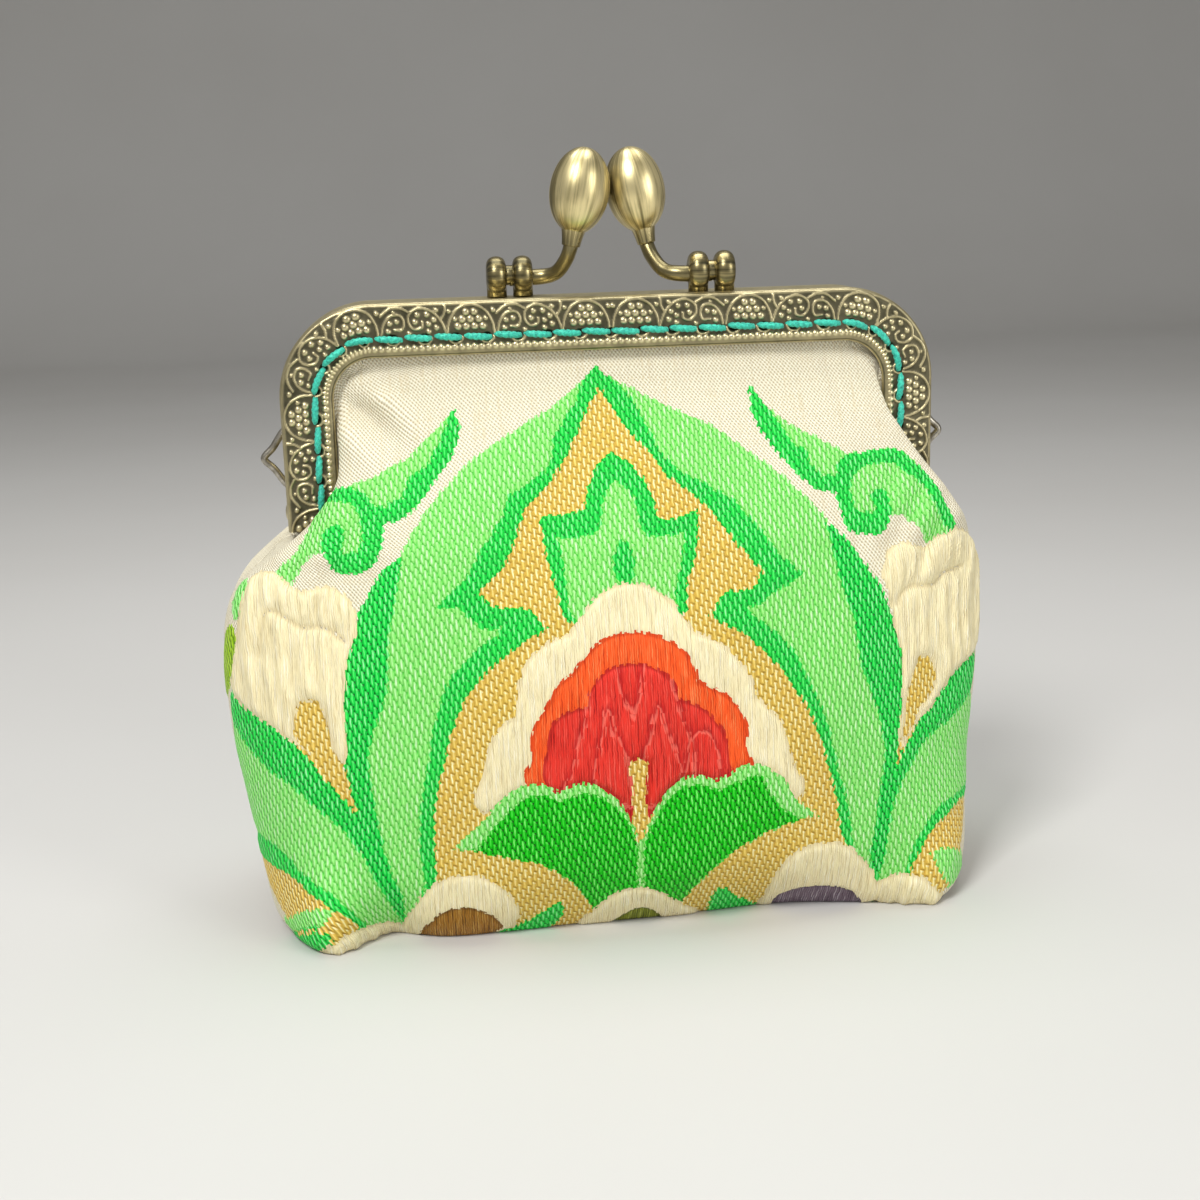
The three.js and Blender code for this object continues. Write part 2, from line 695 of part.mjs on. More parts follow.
const purse = new THREE.Group();
purse.add(piece("frame_front", frontHalf, BRASS));
purse.add(turnedPiece("frame_back", backHalf, BRASS));
purse.add(piece("clasp_arm_back", armSolid(), BRASS));
purse.add(piece("clasp_knob_back", knobGeometry(), BRASS));
purse.add(turnedPiece("clasp_arm_front", armSolid(), BRASS, CLASP.x));
purse.add(turnedPiece("clasp_knob_front", knobGeometry(), BRASS, CLASP.x));
for (const [word, side] of [["left", -1], ["right", 1]]) {
  const loop = wireAlong(loopCurve(side), LOOP.wire, LOOP.sides, LOOP.steps);
  purse.add(piece(`hinge_rivet_${word}`, rivet(side), BRASS));
  purse.add(piece(`strap_loop_${word}`, loop, NICKEL));
}
purse.add(piece("pouch_front", thickened(panelRows(DENTS.front, false), CLOTH.wall), BROCADE));
purse.add(turnedPiece("pouch_back", thickened(panelRows(DENTS.back, true), CLOTH.wall), BROCADE));
// The cloth hangs a little to the left of the frame. All is moved so that the purse's middle is at X = 0.
for (const child of purse.children) child.position.x += CLOTH.hangs;

export default purse;
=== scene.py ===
import math

import bpy
import numpy as np
from mathutils import Matrix


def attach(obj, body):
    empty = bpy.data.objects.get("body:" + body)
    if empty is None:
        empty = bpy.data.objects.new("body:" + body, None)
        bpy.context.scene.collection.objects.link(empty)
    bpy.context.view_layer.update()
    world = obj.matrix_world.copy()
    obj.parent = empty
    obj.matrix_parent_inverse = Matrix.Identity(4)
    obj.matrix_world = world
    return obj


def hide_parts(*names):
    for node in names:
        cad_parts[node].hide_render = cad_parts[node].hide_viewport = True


# A brocade coin purse on a kiss-clasp frame. Shapes are worked out in millimetres from the frame's
# middle and put into metres from the purse's middle when a mesh is made. The front faces -Y, +Z is up.
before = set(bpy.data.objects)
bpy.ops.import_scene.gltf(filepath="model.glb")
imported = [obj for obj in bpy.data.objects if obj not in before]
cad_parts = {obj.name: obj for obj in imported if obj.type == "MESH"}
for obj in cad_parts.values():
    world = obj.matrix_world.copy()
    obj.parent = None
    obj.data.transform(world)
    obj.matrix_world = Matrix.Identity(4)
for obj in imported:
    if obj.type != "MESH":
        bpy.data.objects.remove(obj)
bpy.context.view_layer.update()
mm = 0.001
hangs = np.array([1.4, 0.0, 0.0])  # from the purse's middle to the frame's
print("frame loaded,", len(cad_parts), "nodes")

photoView = {
    "aim": (-1.92, 0.0, 39.82),
    "distance": 230.4,
    "azimuth": -6.14,
    "elevation": 13.0,
    "roll": -1.68,
    "lens": 51.0,
    "sensor": 36.0,
    "picture": 1200.0,
}


# Camera axes: back points from the aim to the camera, right is level, and both right and up are then
# rolled about back
def cameraAxes(view):
    a, e, r = (math.radians(view[k]) for k in ("azimuth", "elevation", "roll"))
    back = np.array([math.sin(a) * math.cos(e), -math.cos(a) * math.cos(e), math.sin(e)])
    level = np.array([math.cos(a), math.sin(a), 0.0])
    upright = np.cross(back, level)
    right = math.cos(r) * level + math.sin(r) * upright
    up = math.cos(r) * upright - math.sin(r) * level
    place = np.array(view["aim"]) + back * view["distance"]
    return right, up, back, place


# Perspective: what is right and up of the camera divided by how far in front of it, in picture points
# from the top left corner
def toPicture(points, view):
    right, up, back, place = cameraAxes(view)
    ray = points - place
    depth = -(ray @ back)
    focal = view["lens"] / view["sensor"] * view["picture"]
    middle = view["picture"] / 2
    across = middle + focal * (ray @ right) / depth
    down = middle - focal * (ray @ up) / depth
    return np.stack([across, down], axis=-1)


# The camera stands at its place with its axes as the columns of its matrix
def addCamera(view):
    right, up, back, place = cameraAxes(view)
    data = bpy.data.cameras.new("photo_camera")
    data.lens = view["lens"]
    data.sensor_width = view["sensor"]
    data.clip_start = 0.01
    camera = bpy.data.objects.new("photo_camera", data)
    bpy.context.scene.collection.objects.link(camera)
    turn = np.eye(4)
    turn[:3, 0], turn[:3, 1], turn[:3, 2], turn[:3, 3] = right, up, back, (place + hangs) * mm
    camera.matrix_world = Matrix(turn.tolist())
    bpy.context.scene.camera = camera


addCamera(photoView)
print("camera set")


# Meshes from arrays


# Quads between neighbours of a grid of rows by columns, closed round the columns where wanted
def gridQuads(rows, columns, closed=False):
    near = np.arange(rows - 1)[:, None] * columns
    far = near + columns
    c = np.arange(columns if closed else columns - 1)[None, :]
    nextC = (c + 1) % columns
    return np.stack([near + c, far + c, far + nextC, near + nextC], -1).reshape(-1, 4)


# Several point and face lists as one, each face list moved on by the points before it
def joinParts(parts):
    points, faces, start = [], [], 0
    for partPoints, partFaces in parts:
        points.append(partPoints)
        faces += [f + start for f in partFaces]
        start += len(partPoints)
    return np.concatenate(points), faces


# A mesh object in metres from points in millimetres and sets of faces of one size each, with values at
# the points for its material to read
def makePiece(name, points, faceSets, material, values=None):
    mesh = bpy.data.meshes.new(name)
    corners = np.concatenate([f.ravel() for f in faceSets]).astype(np.int32)
    sizes = np.concatenate([np.full(len(f), f.shape[1]) for f in faceSets])
    starts = np.concatenate([[0], np.cumsum(sizes)[:-1]]).astype(np.int32)
    mesh.vertices.add(len(points))
    mesh.vertices.foreach_set("co", ((points + hangs) * mm).astype(np.float32).ravel())
    mesh.loops.add(len(corners))
    mesh.loops.foreach_set("vertex_index", corners)
    mesh.polygons.add(len(sizes))
    mesh.polygons.foreach_set("loop_start", starts)
    mesh.polygons.foreach_set("use_smooth", np.ones(len(sizes), dtype=bool))
    mesh.update(calc_edges=True)
    for key, array in (values or {}).items():
        vector = array.ndim == 2
        layer = mesh.attributes.new(key, "FLOAT_VECTOR" if vector else "FLOAT", "POINT")
        layer.data.foreach_set("vector" if vector else "value", array.astype(np.float32).ravel())
    mesh.validate()
    piece = bpy.data.objects.new(name, mesh)
    bpy.context.scene.collection.objects.link(piece)
    mesh.materials.append(material)
    return piece


# Smooth rows: each coordinate runs through the control rows as a cubic in the distance walked, with
# slopes held so that it never overshoots (harmonic mean of the two neighbouring slopes)
def smoothRows(control, stations):
    steps = np.linalg.norm(np.diff(control, axis=0), axis=-1).mean(axis=1)
    knots = np.concatenate([[0.0], np.cumsum(steps)])
    h = steps[:, None, None]
    slope = np.diff(control, axis=0) / h
    h0, h1, s0, s1 = h[:-1], h[1:], slope[:-1], slope[1:]
    same = s0 * s1 > 1e-12
    safe0, safe1 = np.where(same, s0, 1.0), np.where(same, s1, 1.0)
    mean = 3 * (h0 + h1) / ((2 * h1 + h0) / safe0 + (h1 + 2 * h0) / safe1)
    inner = np.where(same, mean, 0.0)
    tangent = np.concatenate([slope[:1], inner, slope[-1:]])
    at = stations * knots[-1]
    k = np.clip(np.searchsorted(knots, at, side="right") - 1, 0, len(steps) - 1)
    t = ((at - knots[k]) / steps[k])[:, None, None]
    span = steps[k][:, None, None]
    near, far = control[k], control[k + 1]
    leave, arrive = tangent[k] * span, tangent[k + 1] * span
    return (
        (2 * t**3 - 3 * t**2 + 1) * near + (t**3 - 2 * t**2 + t) * leave
        + (3 * t**2 - 2 * t**3) * far + (t**3 - t**2) * arrive
    )


# A curve through its points (Catmull-Rom, each stretch a cubic whose end slopes are half the step
# between the neighbours), open or closed. A point given twice makes a corner.
def throughPoints(points, steps, closed=False):
    p = np.asarray(points, dtype=float)
    if closed:
        p0, p1, p2, p3 = np.roll(p, 1, 0), p, np.roll(p, -1, 0), np.roll(p, -2, 0)
    else:
        ends = np.concatenate([2 * p[:1] - p[1:2], p, 2 * p[-1:] - p[-2:-1]])
        p0, p1, p2, p3 = ends[:-3], ends[1:-2], ends[2:-1], ends[3:]
    t = (np.arange(steps) / steps)[None, :, None]
    p0, p1, p2, p3 = (q[:, None, :] for q in (p0, p1, p2, p3))
    curve = 0.5 * (
        2 * p1 + (p2 - p0) * t + (2 * p0 - 5 * p1 + 4 * p2 - p3) * t**2
        + (3 * p1 - p0 - 3 * p2 + p3) * t**3
    )
    curve = curve.reshape(-1, p.shape[1])
    return curve if closed else np.concatenate([curve, p[-1:]])


# Vectors divided by their lengths
def unit(vectors):
    return vectors / np.maximum(np.linalg.norm(vectors, axis=-1, keepdims=True), 1e-12)


# A round body: the profile's radius turned about an axis through base, its height taken along the axis.
# Both ends of the profile lie on the axis, so the poles are closed by triangles. The brush that comes
# with it is the cosine and sine of each point's turn and its height.
def latheBody(profile, base, axis, sides):
    axis = unit(np.asarray(axis, dtype=float))
    aslant = [0.31, 0.9, 0.21]  # along none of the axes used here
    side = unit(np.cross(axis, aslant))
    other = np.cross(axis, side)
    turn = 2 * math.pi * np.arange(sides) / sides
    ring = np.cos(turn)[:, None] * side + np.sin(turn)[:, None] * other
    middle = np.asarray(base, dtype=float) + profile[:, 1][:, None] * axis
    walls = middle[1:-1, None, :] + profile[1:-1, 0][:, None, None] * ring[None]
    points = np.concatenate([walls.reshape(-1, 3), middle[:1], middle[-1:]])
    rows = len(profile) - 2
    first, last = rows * sides, rows * sides + 1
    i = np.arange(sides)
    nextI = (i + 1) % sides
    foot = np.stack([np.full(sides, first), i, nextI], -1)
    top = (rows - 1) * sides
    head = np.stack([np.full(sides, last), top + nextI, top + i], -1)
    body = gridQuads(rows, sides, closed=True)[:, ::-1]
    spread = np.broadcast_arrays(np.cos(turn)[None], np.sin(turn)[None], profile[1:-1, 1][:, None])
    poles = np.array([[0.0, 0.0, profile[0, 1]], [0.0, 0.0, profile[-1, 1]]])
    brush = np.concatenate([np.stack(spread, -1).reshape(-1, 3), poles])
    return points, [body, foot[:, ::-1], head[:, ::-1]], brush


# A rod: a ring carried along a path, upright to a fixed side direction, with flat fans at both ends. Its
# radius may change along the path, and lobes that wind round it make it a twisted thread.
def rodAlong(path, radius, sideways, sides, lobes=0, depth=0.0, turns=0.0):
    count = len(path)
    along = unit(np.gradient(path, axis=0))
    across = unit(np.cross(along, np.asarray(sideways, dtype=float)))
    out = np.cross(across, along)
    turn = 2 * math.pi * np.arange(sides) / sides
    walked = np.linspace(0, 1, count)[:, None]
    spin = turn[None] + 2 * math.pi * turns * walked
    reach = np.broadcast_to(np.asarray(radius, dtype=float).reshape(-1, 1), (count, 1))
    reach = reach * (1 + depth * np.cos(lobes * spin))
    cosine, sine = np.cos(turn)[None, :, None], np.sin(turn)[None, :, None]
    ring = cosine * across[:, None, :] + sine * out[:, None, :]
    walls = path[:, None, :] + reach[..., None] * ring
    points = np.concatenate([walls.reshape(-1, 3), path[:1], path[-1:]])
    i = np.arange(sides)
    nextI = (i + 1) % sides
    start, end = count * sides, count * sides + 1
    top = (count - 1) * sides
    body = gridQuads(count, sides, closed=True)
    first = np.stack([np.full(sides, start), i, nextI], -1)
    last = np.stack([np.full(sides, end), top + nextI, top + i], -1)
    return points, [body, first, last]


# Materials


# sRGB numbers of 0 to 255 as the linear colour that a shader takes
def colour(red, green, blue):
    c = np.array([red, green, blue]) / 255
    linear = np.where(c <= 0.04045, c / 12.92, ((c + 0.055) / 1.055) ** 2.4)
    return (*linear.tolist(), 1.0)


class Finish:
    # A material with its Principled shader, and short calls that add nodes and give back a socket
    def __init__(self, name):
        self.material = bpy.data.materials.new(name)
        self.material.use_nodes = True
        self.nodes = self.material.node_tree.nodes
        self.links = self.material.node_tree.links
        self.shader = self.nodes["Principled BSDF"]

    def plug(self, socket, value):
        if isinstance(value, bpy.types.NodeSocket):
            self.links.new(value, socket)
        else:
            socket.default_value = value

    def add(self, kind, inputs=None, out=0, **settings):
        node = self.nodes.new(kind)
        for key, value in settings.items():
            setattr(node, key, value)
        for key, value in (inputs or {}).items():
            self.plug(node.inputs[key], value)
        return node.outputs[out]

    def math(self, operation, *values):
        return self.add("ShaderNodeMath", dict(enumerate(values)), operation=operation)

    def attribute(self, name, out="Fac"):
        return self.add("ShaderNodeAttribute", out=out, attribute_name=name)

    def mixColour(self, share, first, second):
        return self.add("ShaderNodeMix", {0: share, 6: first, 7: second}, out=2, data_type="RGBA")

    def mixValue(self, share, first, second):
        return self.add("ShaderNodeMix", {0: share, 2: first, 3: second}, data_type="FLOAT")

    def scaled(self, value, factor):
        return self.math("MULTIPLY", value, factor)

    def sumOf(self, first, share, second, otherShare):
        return self.math("ADD", self.scaled(first, share), self.scaled(second, otherShare))

    def vector(self, x, y, z=0.0):
        return self.add("ShaderNodeCombineXYZ", {0: x, 1: y, 2: z})

    def stretched(self, x, byX, y, byY):
        return self.vector(self.scaled(x, byX), self.scaled(y, byY))

    def split(self, vector):
        node = self.nodes.new("ShaderNodeSeparateXYZ")
        self.links.new(vector, node.inputs[0])
        return node.outputs

    def pick(self, column, row):
        inputs = {0: self.vector(column, row)}
        return self.add("ShaderNodeTexWhiteNoise", inputs, noise_dimensions="2D")

    def noise(self, place, scale, detail=2.0, roughness=0.5):
        inputs = {"Vector": place, "Scale": scale, "Detail": detail, "Roughness": roughness}
        return self.add("ShaderNodeTexNoise", inputs)

    def rangeTo(self, value, low, high, toLow=0.0, toHigh=1.0):
        inputs = {"Value": value, "From Min": low, "From Max": high, "To Min": toLow, "To Max": toHigh}
        return self.add("ShaderNodeMapRange", inputs, interpolation_type="SMOOTHSTEP")

    def ramp(self, share, stops):
        node = self.nodes.new("ShaderNodeValToRGB")
        self.plug(node.inputs[0], share)
        band = node.color_ramp
        while len(band.elements) < len(stops):
            band.elements.new(0.5)
        for element, (place, tone) in zip(band.elements, stops):
            element.position, element.color = place, tone
        return node.outputs[0]

    def bump(self, height, strength, distance):
        inputs = {"Height": height, "Strength": strength, "Distance": distance}
        self.plug(self.shader.inputs["Normal"], self.add("ShaderNodeBump", inputs))

    def set(self, **sockets):
        for key, value in sockets.items():
            self.plug(self.shader.inputs[key.replace("_", " ")], value)


# Brocade: every woven finish has its own distance field on the cloth, in millimetres and below zero
# inside its figures. Colours are the painted highlight on a float, its body and the painted shade in the
# gap beside it.
brocadeFinishes = [
    # name, glint, body, gap, weave, raised by (mm)
    ("lightGreen", (222, 255, 206), (156, 252, 128), (70, 198, 54), "dash", 0.18),
    ("brightGreen", (160, 255, 170), (30, 234, 78), (0, 130, 36), "dash", 0.22),
    ("stemGreen", (168, 255, 180), (8, 236, 76), (0, 96, 26), "dash", 0.22),
    ("leafGreen", (140, 255, 124), (0, 214, 10), (0, 78, 0), "dash", 0.2),
    ("gold", (255, 250, 196), (246, 208, 92), (164, 116, 36), "brick", 0.08),
    ("cream", (255, 248, 222), (245, 232, 186), (222, 202, 150), "satin", 0.36),
    ("orange", (255, 150, 92), (250, 92, 34), (196, 44, 10), "satin", 0.32),
    ("red", (250, 100, 84), (228, 52, 40), (150, 12, 14), "satin", 0.32),
    ("bronze", (220, 178, 98), (160, 110, 36), (84, 50, 8), "satin", 0.2),
    ("plum", (196, 186, 194), (118, 100, 114), (58, 42, 58), "satin", 0.2),
    ("olive", (200, 206, 104), (128, 136, 36), (66, 74, 10), "satin", 0.2),
    ("lime", (226, 248, 116), (164, 212, 26), (84, 138, 0), "dash", 0.16),
]
# Floats stand in columns, bound down at points of a slanting lattice: upStep and floatStep lead to the
# two points in the next column, in millimetres across and up. The cap and the stroke are spots of painted
# highlight on a float, ovals given by middle and half size, across in column widths and along in float
# lengths. The jags and dashRound are how far the floats step a figure's edge, in millimetres.
weave = {
    "wobble": 0.3,
    "upStep": (0.66, 0.57),
    "floatStep": (0.49, -0.95),
    "lean": 0.42,
    "cap": ((0.0, 0.87), (0.42, 0.1)),
    "stroke": ((-0.06, 0.56), (0.24, 0.42)),
    "dashJag": 0.24,
    "dashRound": 0.95,
    "satinWidth": 0.3,
    "satinLength": 1.3,
    "satinJag": 0.55,
    "twillAcross": 0.5,
    "twillDown": 0.62,
    "twillCross": 0.9,
    # The twill: painted highlight on its floats, their body, painted shade in the gaps between them, and
    # the yarn's slubs
    "ground": (250, 246, 226),
    "groundBody": (233, 226, 201),
    "groundGapShade": (184, 168, 134),
    "slub": (214, 198, 160),
    # Flame tongues: painted shade behind them and a painted highlight on their stepped edges
    "tongueShade": (176, 18, 24),
    "tongueHighlight": (255, 124, 106),
    "tongueJag": 0.6,
    "tongueShadow": 1.1,
    "gloss": {"ground": 0.55, "dash": 0.46, "brick": 0.46, "satin": 0.4},
    "bump": 0.0003,
}


# Brocade cloth: a twill ground under the figures. Each figure shows its own floats where its field lies
# below a step that follows those floats.
def brocadeMaterial():
    f = Finish("brocade")
    chart = f.attribute("chart", "Vector")
    chartU, chartV, _ = f.split(chart)
    wobble = f.math("SUBTRACT", f.noise(chart, 0.9), 0.5)
    u = f.math("ADD", chartU, f.scaled(wobble, weave["wobble"]))
    v = f.math("ADD", chartV, f.scaled(wobble, -weave["wobble"]))

    # Dashes: lattice numbers solve u, v = i * upStep + j * floatStep. Their sum counts columns, half
    # their difference counts floats up a column, and each float leans within its column.
    (ax, ay), (cx, cy) = weave["upStep"], weave["floatStep"]
    area = ax * cy - ay * cx
    i = f.sumOf(u, cy / area, v, -cx / area)
    j = f.sumOf(v, ax / area, u, -ay / area)
    column = f.math("ADD", i, j)
    columnIndex = f.math("FLOOR", f.math("ADD", column, 0.5))
    climb = f.math("SUBTRACT", f.sumOf(i, 0.5, j, -0.5), f.scaled(columnIndex, 0.5))
    rowIndex = f.math("FLOOR", climb)
    along = f.math("SUBTRACT", climb, rowIndex)
    centred = f.math("SUBTRACT", column, columnIndex)
    across = f.sumOf(centred, 1.0, f.math("SUBTRACT", along, 0.5), weave["lean"])
    dashPick = f.pick(columnIndex, rowIndex)

    # Share of a spot: one in its middle, none at its edge
    def spot(middle, size):
        x = f.math("DIVIDE", f.math("SUBTRACT", across, middle[0]), size[0])
        y = f.math("DIVIDE", f.math("SUBTRACT", along, middle[1]), size[1])
        reach = f.add("ShaderNodeVectorMath", {0: f.vector(x, y)}, out="Value", operation="LENGTH")
        return f.rangeTo(reach, 0.45, 1.2, 1.0, 0.0)

    side = f.math("ABSOLUTE", f.math("ADD", across, 0.05))
    risen = f.rangeTo(along, -0.06, 0.22)
    flank = f.rangeTo(side, 0.0, 0.6, 1.0, 0.0)
    dash = f.scaled(flank, f.math("ADD", f.scaled(risen, 0.8), 0.2))
    fibre = f.noise(f.stretched(u, 12.0, v, 1.2), 1.0, 2.0)
    toEnd = f.math("PINGPONG", along, 0.5)
    lens = f.math("DIVIDE", side, f.rangeTo(toEnd, 0.0, 0.36, 0.4, 1.0))
    # Painted highlight on each float: a stroke along it and a cap at its top end
    stroke = f.scaled(spot(*weave["stroke"]), f.rangeTo(dashPick, 0.0, 1.0, 0.15, 0.95))
    stroke = f.scaled(stroke, f.rangeTo(fibre, 0.3, 0.6, 0.5, 1.0))
    cap = f.scaled(spot(*weave["cap"]), f.rangeTo(fibre, 0.35, 0.6, 0.5, 0.95))
    # Body shares: the body gives way to the gap colour at a float's flanks and ends, painted shade
    # between floats
    brickBody = f.scaled(f.rangeTo(side, 0.28, 0.62, 1.0, 0.4), risen)
    brickGlint = f.math("MAXIMUM", stroke, cap)
    dashBody = f.rangeTo(lens, 0.28, 0.84, 1.0, 0.05)
    dashGlint = f.math("MAXIMUM", stroke, f.scaled(cap, 0.4))

    # Satin: long upright floats side by side
    satinColumn = f.math("FLOOR", f.math("DIVIDE", u, weave["satinWidth"]))
    satinRow = f.math("FLOOR", f.math("DIVIDE", v, weave["satinLength"]))
    satinPick = f.pick(satinColumn, satinRow)
    streak = f.noise(f.stretched(u, 3.0, v, 0.22), 1.0, 4.0, 0.62)
    # Satin strands differ in tone at random and darken across each float in painted shade; the brightest
    # get painted highlight
    floss = f.math("SINE", f.scaled(u, 2 * math.pi / weave["satinWidth"]))
    flossTone = f.sumOf(streak, 1.3, floss, 0.12)
    satinBody = f.rangeTo(flossTone, 0.28, 0.62)
    satinGlint = f.rangeTo(flossTone, 0.66, 0.95, 0.0, 0.8)
    ridges = f.noise(f.stretched(u, 0.8, v, 0.09), 1.0, 2.0)
    satin = f.sumOf(flossTone, 1.0, ridges, 1.6)

    # Twill ground: slanting rows of small floats with painted highlight on their tops and painted shade
    # in the gaps between them, and slubs that run both ways
    alongRow = f.sumOf(u, 1 / weave["twillAcross"], v, 1 / weave["twillDown"])
    crossRow = f.sumOf(u, 1 / weave["twillAcross"], v, -1 / weave["twillCross"])
    alongWave = f.math("SINE", f.scaled(alongRow, 2 * math.pi))
    crossWave = f.math("SINE", f.scaled(crossRow, 2 * math.pi))
    twill = f.math("ADD", 0.5, f.sumOf(alongWave, 0.34, crossWave, 0.16))
    upright = f.noise(f.stretched(u, 2.6, v, 0.1), 1.0, 3.0)
    level = f.noise(f.stretched(u, 0.1, v, 2.6), 1.0, 3.0)
    slub = f.sumOf(upright, 0.65, level, 0.35)
    groundHighlight = f.scaled(f.rangeTo(twill, 0.55, 0.95), f.rangeTo(slub, 0.35, 0.6, 0.3, 1.0))
    groundGapShade, groundBody = colour(*weave["groundGapShade"]), colour(*weave["groundBody"])
    ground = f.mixColour(f.rangeTo(twill, 0.02, 0.5), groundGapShade, groundBody)
    ground = f.mixColour(f.rangeTo(slub, 0.32, 0.5, 0.55, 0.0), ground, colour(*weave["slub"]))

    tone = f.mixColour(groundHighlight, ground, colour(*weave["ground"]))
    height = f.scaled(twill, 0.45)
    gloss = weave["gloss"]["ground"]
    # Flame tongues lie one over another: a painted highlight on each stepped edge, and painted shade on
    # what lies behind it
    shade, edge = 0.0, 0.0
    for layer in ("backTongue", "frontTongue"):
        stepped = f.sumOf(f.attribute(layer), 1.0, satinPick, -weave["tongueJag"])
        fading = f.rangeTo(stepped, 0.0, weave["tongueShadow"], 0.8, 0.0)
        behind = f.math("GREATER_THAN", stepped, 0.0)
        shade = f.math("MAXIMUM", shade, f.scaled(fading, behind))
        rim = f.rangeTo(f.math("ABSOLUTE", stepped), 0.05, 0.24, 0.6, 0.0)
        edge = f.math("MAXIMUM", edge, rim)
    dashStep = f.sumOf(dashPick, weave["dashJag"], toEnd, weave["dashRound"])
    satinStep = f.scaled(satinPick, weave["satinJag"])
    kinds = {
        "dash": (dashBody, dashGlint, dash, dashStep),
        "brick": (brickBody, brickGlint, dash, dashStep),
        "satin": (satinBody, satinGlint, satin, satinStep),
    }
    for name, glint, body, gap, kind, _ in brocadeFinishes:
        bodyShare, glintShare, ownHeight, jag = kinds[kind]
        field = f.attribute(name)
        inside = f.math("LESS_THAN", field, jag)
        # A finish's body gives way to painted shade in its gaps and to painted highlight on its floats
        own = f.mixColour(bodyShare, colour(*gap), colour(*body))
        own = f.mixColour(glintShare, own, colour(*glint))
        # Satin darkens in its gap colour towards a figure's edge: painted shade along the raised edge
        if kind == "satin":
            own = f.mixColour(f.rangeTo(field, -0.3, 0.1, 0.0, 0.45), own, colour(*gap))
        # Red petals take painted shade behind each flame tongue and a painted highlight on its edge
        if name == "red":
            own = f.mixColour(shade, own, colour(*weave["tongueShade"]))
            own = f.mixColour(edge, own, colour(*weave["tongueHighlight"]))
        tone = f.mixColour(inside, tone, own)
        height = f.mixValue(inside, height, ownHeight)
        gloss = f.mixValue(inside, gloss, weave["gloss"][kind])
    f.set(Base_Color=tone, Roughness=gloss, Specular_IOR_Level=0.18)
    f.bump(height, 1.0, weave["bump"])
    return f.material


# Antique brass: the stamped ground is dark with patina, the tops are rubbed bright
def frameBrass():
    f = Finish("antique_frame_brass")
    place = f.add("ShaderNodeTexCoord", out="Object")
    cloud = f.noise(place, 420.0, 4.0, 0.6)
    fine = f.noise(place, 3200.0, 2.0)
    mottle = f.scaled(f.math("SUBTRACT", cloud, 0.5), 0.5)
    rubbed = f.math("ADD", f.attribute("relief"), mottle)
    tone = f.ramp(rubbed, [
        (0.0, colour(74, 71, 54)),
        (0.24, colour(116, 110, 86)),
        (0.55, colour(182, 170, 130)),
        (1.0, colour(240, 228, 184)),
    ])
    rough = f.rangeTo(rubbed, 0.0, 1.0, 0.52, 0.3)
    f.set(Base_Color=tone, Roughness=rough, Metallic=0.92)
    f.bump(fine, 0.12, 0.00006)
    return f.material


# Brushed brass of the clasp: fine streaks of brushing along the knob, broad streaks of painted highlight
# along it, and a dark patina that clouds it. The arms, spools and the feet of the knobs are darker and
# smoother.
def claspBrass():
    f = Finish("brushed_clasp_brass")
    cosine, sine, up = f.split(f.attribute("brush", "Vector"))

    def streaks(around, along, detail):
        lines = f.vector(f.scaled(cosine, around), f.scaled(sine, around), f.scaled(up, along))
        return f.noise(lines, 1.0, detail, 0.6)

    fine, broadSheen = streaks(14.0, 0.16, 4.0), streaks(3.2, 0.05, 2.0)
    place = f.add("ShaderNodeTexCoord", out="Object")
    cloud = f.noise(place, 300.0, 3.0)
    # Tone: brushing and patina, with the broad streaks painting highlight along the knob
    wearAndSheen = f.math("ADD", f.sumOf(fine, 0.3, broadSheen, 0.6), f.scaled(cloud, 0.15))
    wearAndSheen = f.scaled(wearAndSheen, f.rangeTo(up, -1.5, 4.5, 0.72, 1.0))
    tone = f.ramp(wearAndSheen, [
        (0.3, colour(70, 68, 52)),
        (0.46, colour(160, 147, 104)),
        (0.6, colour(236, 220, 166)),
    ])
    polish = f.rangeTo(up, 0.5, 4.0, 0.15, 0.0)
    rough = f.math("SUBTRACT", f.rangeTo(wearAndSheen, 0.3, 0.65, 0.5, 0.34), polish)
    f.set(Base_Color=tone, Roughness=rough, Metallic=0.95)
    f.bump(fine, 0.12, 0.00008)
    return f.material


# Satin nickel, clouded by wear
def nickelWire():
    f = Finish("nickel_wire")
    place = f.add("ShaderNodeTexCoord", out="Object")
    cloud = f.noise(place, 900.0, 4.0)
    tone = f.ramp(cloud, [(0.3, colour(128, 122, 110)), (0.7, colour(196, 190, 176))])
    f.set(Base_Color=tone, Roughness=f.rangeTo(cloud, 0.3, 0.7, 0.42, 0.25), Metallic=1.0)
    f.bump(cloud, 0.08, 0.00005)
    return f.material


# Sewing thread: fine fibres, light and dark
def threadMaterial():
    f = Finish("sewing_thread")
    place = f.add("ShaderNodeTexCoord", out="Object")
    fibre = f.noise(place, 2600.0, 3.0, 0.7)
    tone = f.ramp(fibre, [(0.3, colour(6, 136, 122)), (0.7, colour(64, 222, 190))])
    f.set(Base_Color=tone, Roughness=f.rangeTo(fibre, 0.3, 0.7, 0.7, 0.5), Sheen_Weight=0.2)
    f.bump(fibre, 0.3, 0.0001)
    return f.material


brocade = brocadeMaterial()
brass = frameBrass()
claspMetal = claspBrass()
nickel = nickelWire()
thread = threadMaterial()
print("materials made")


# Frame halves

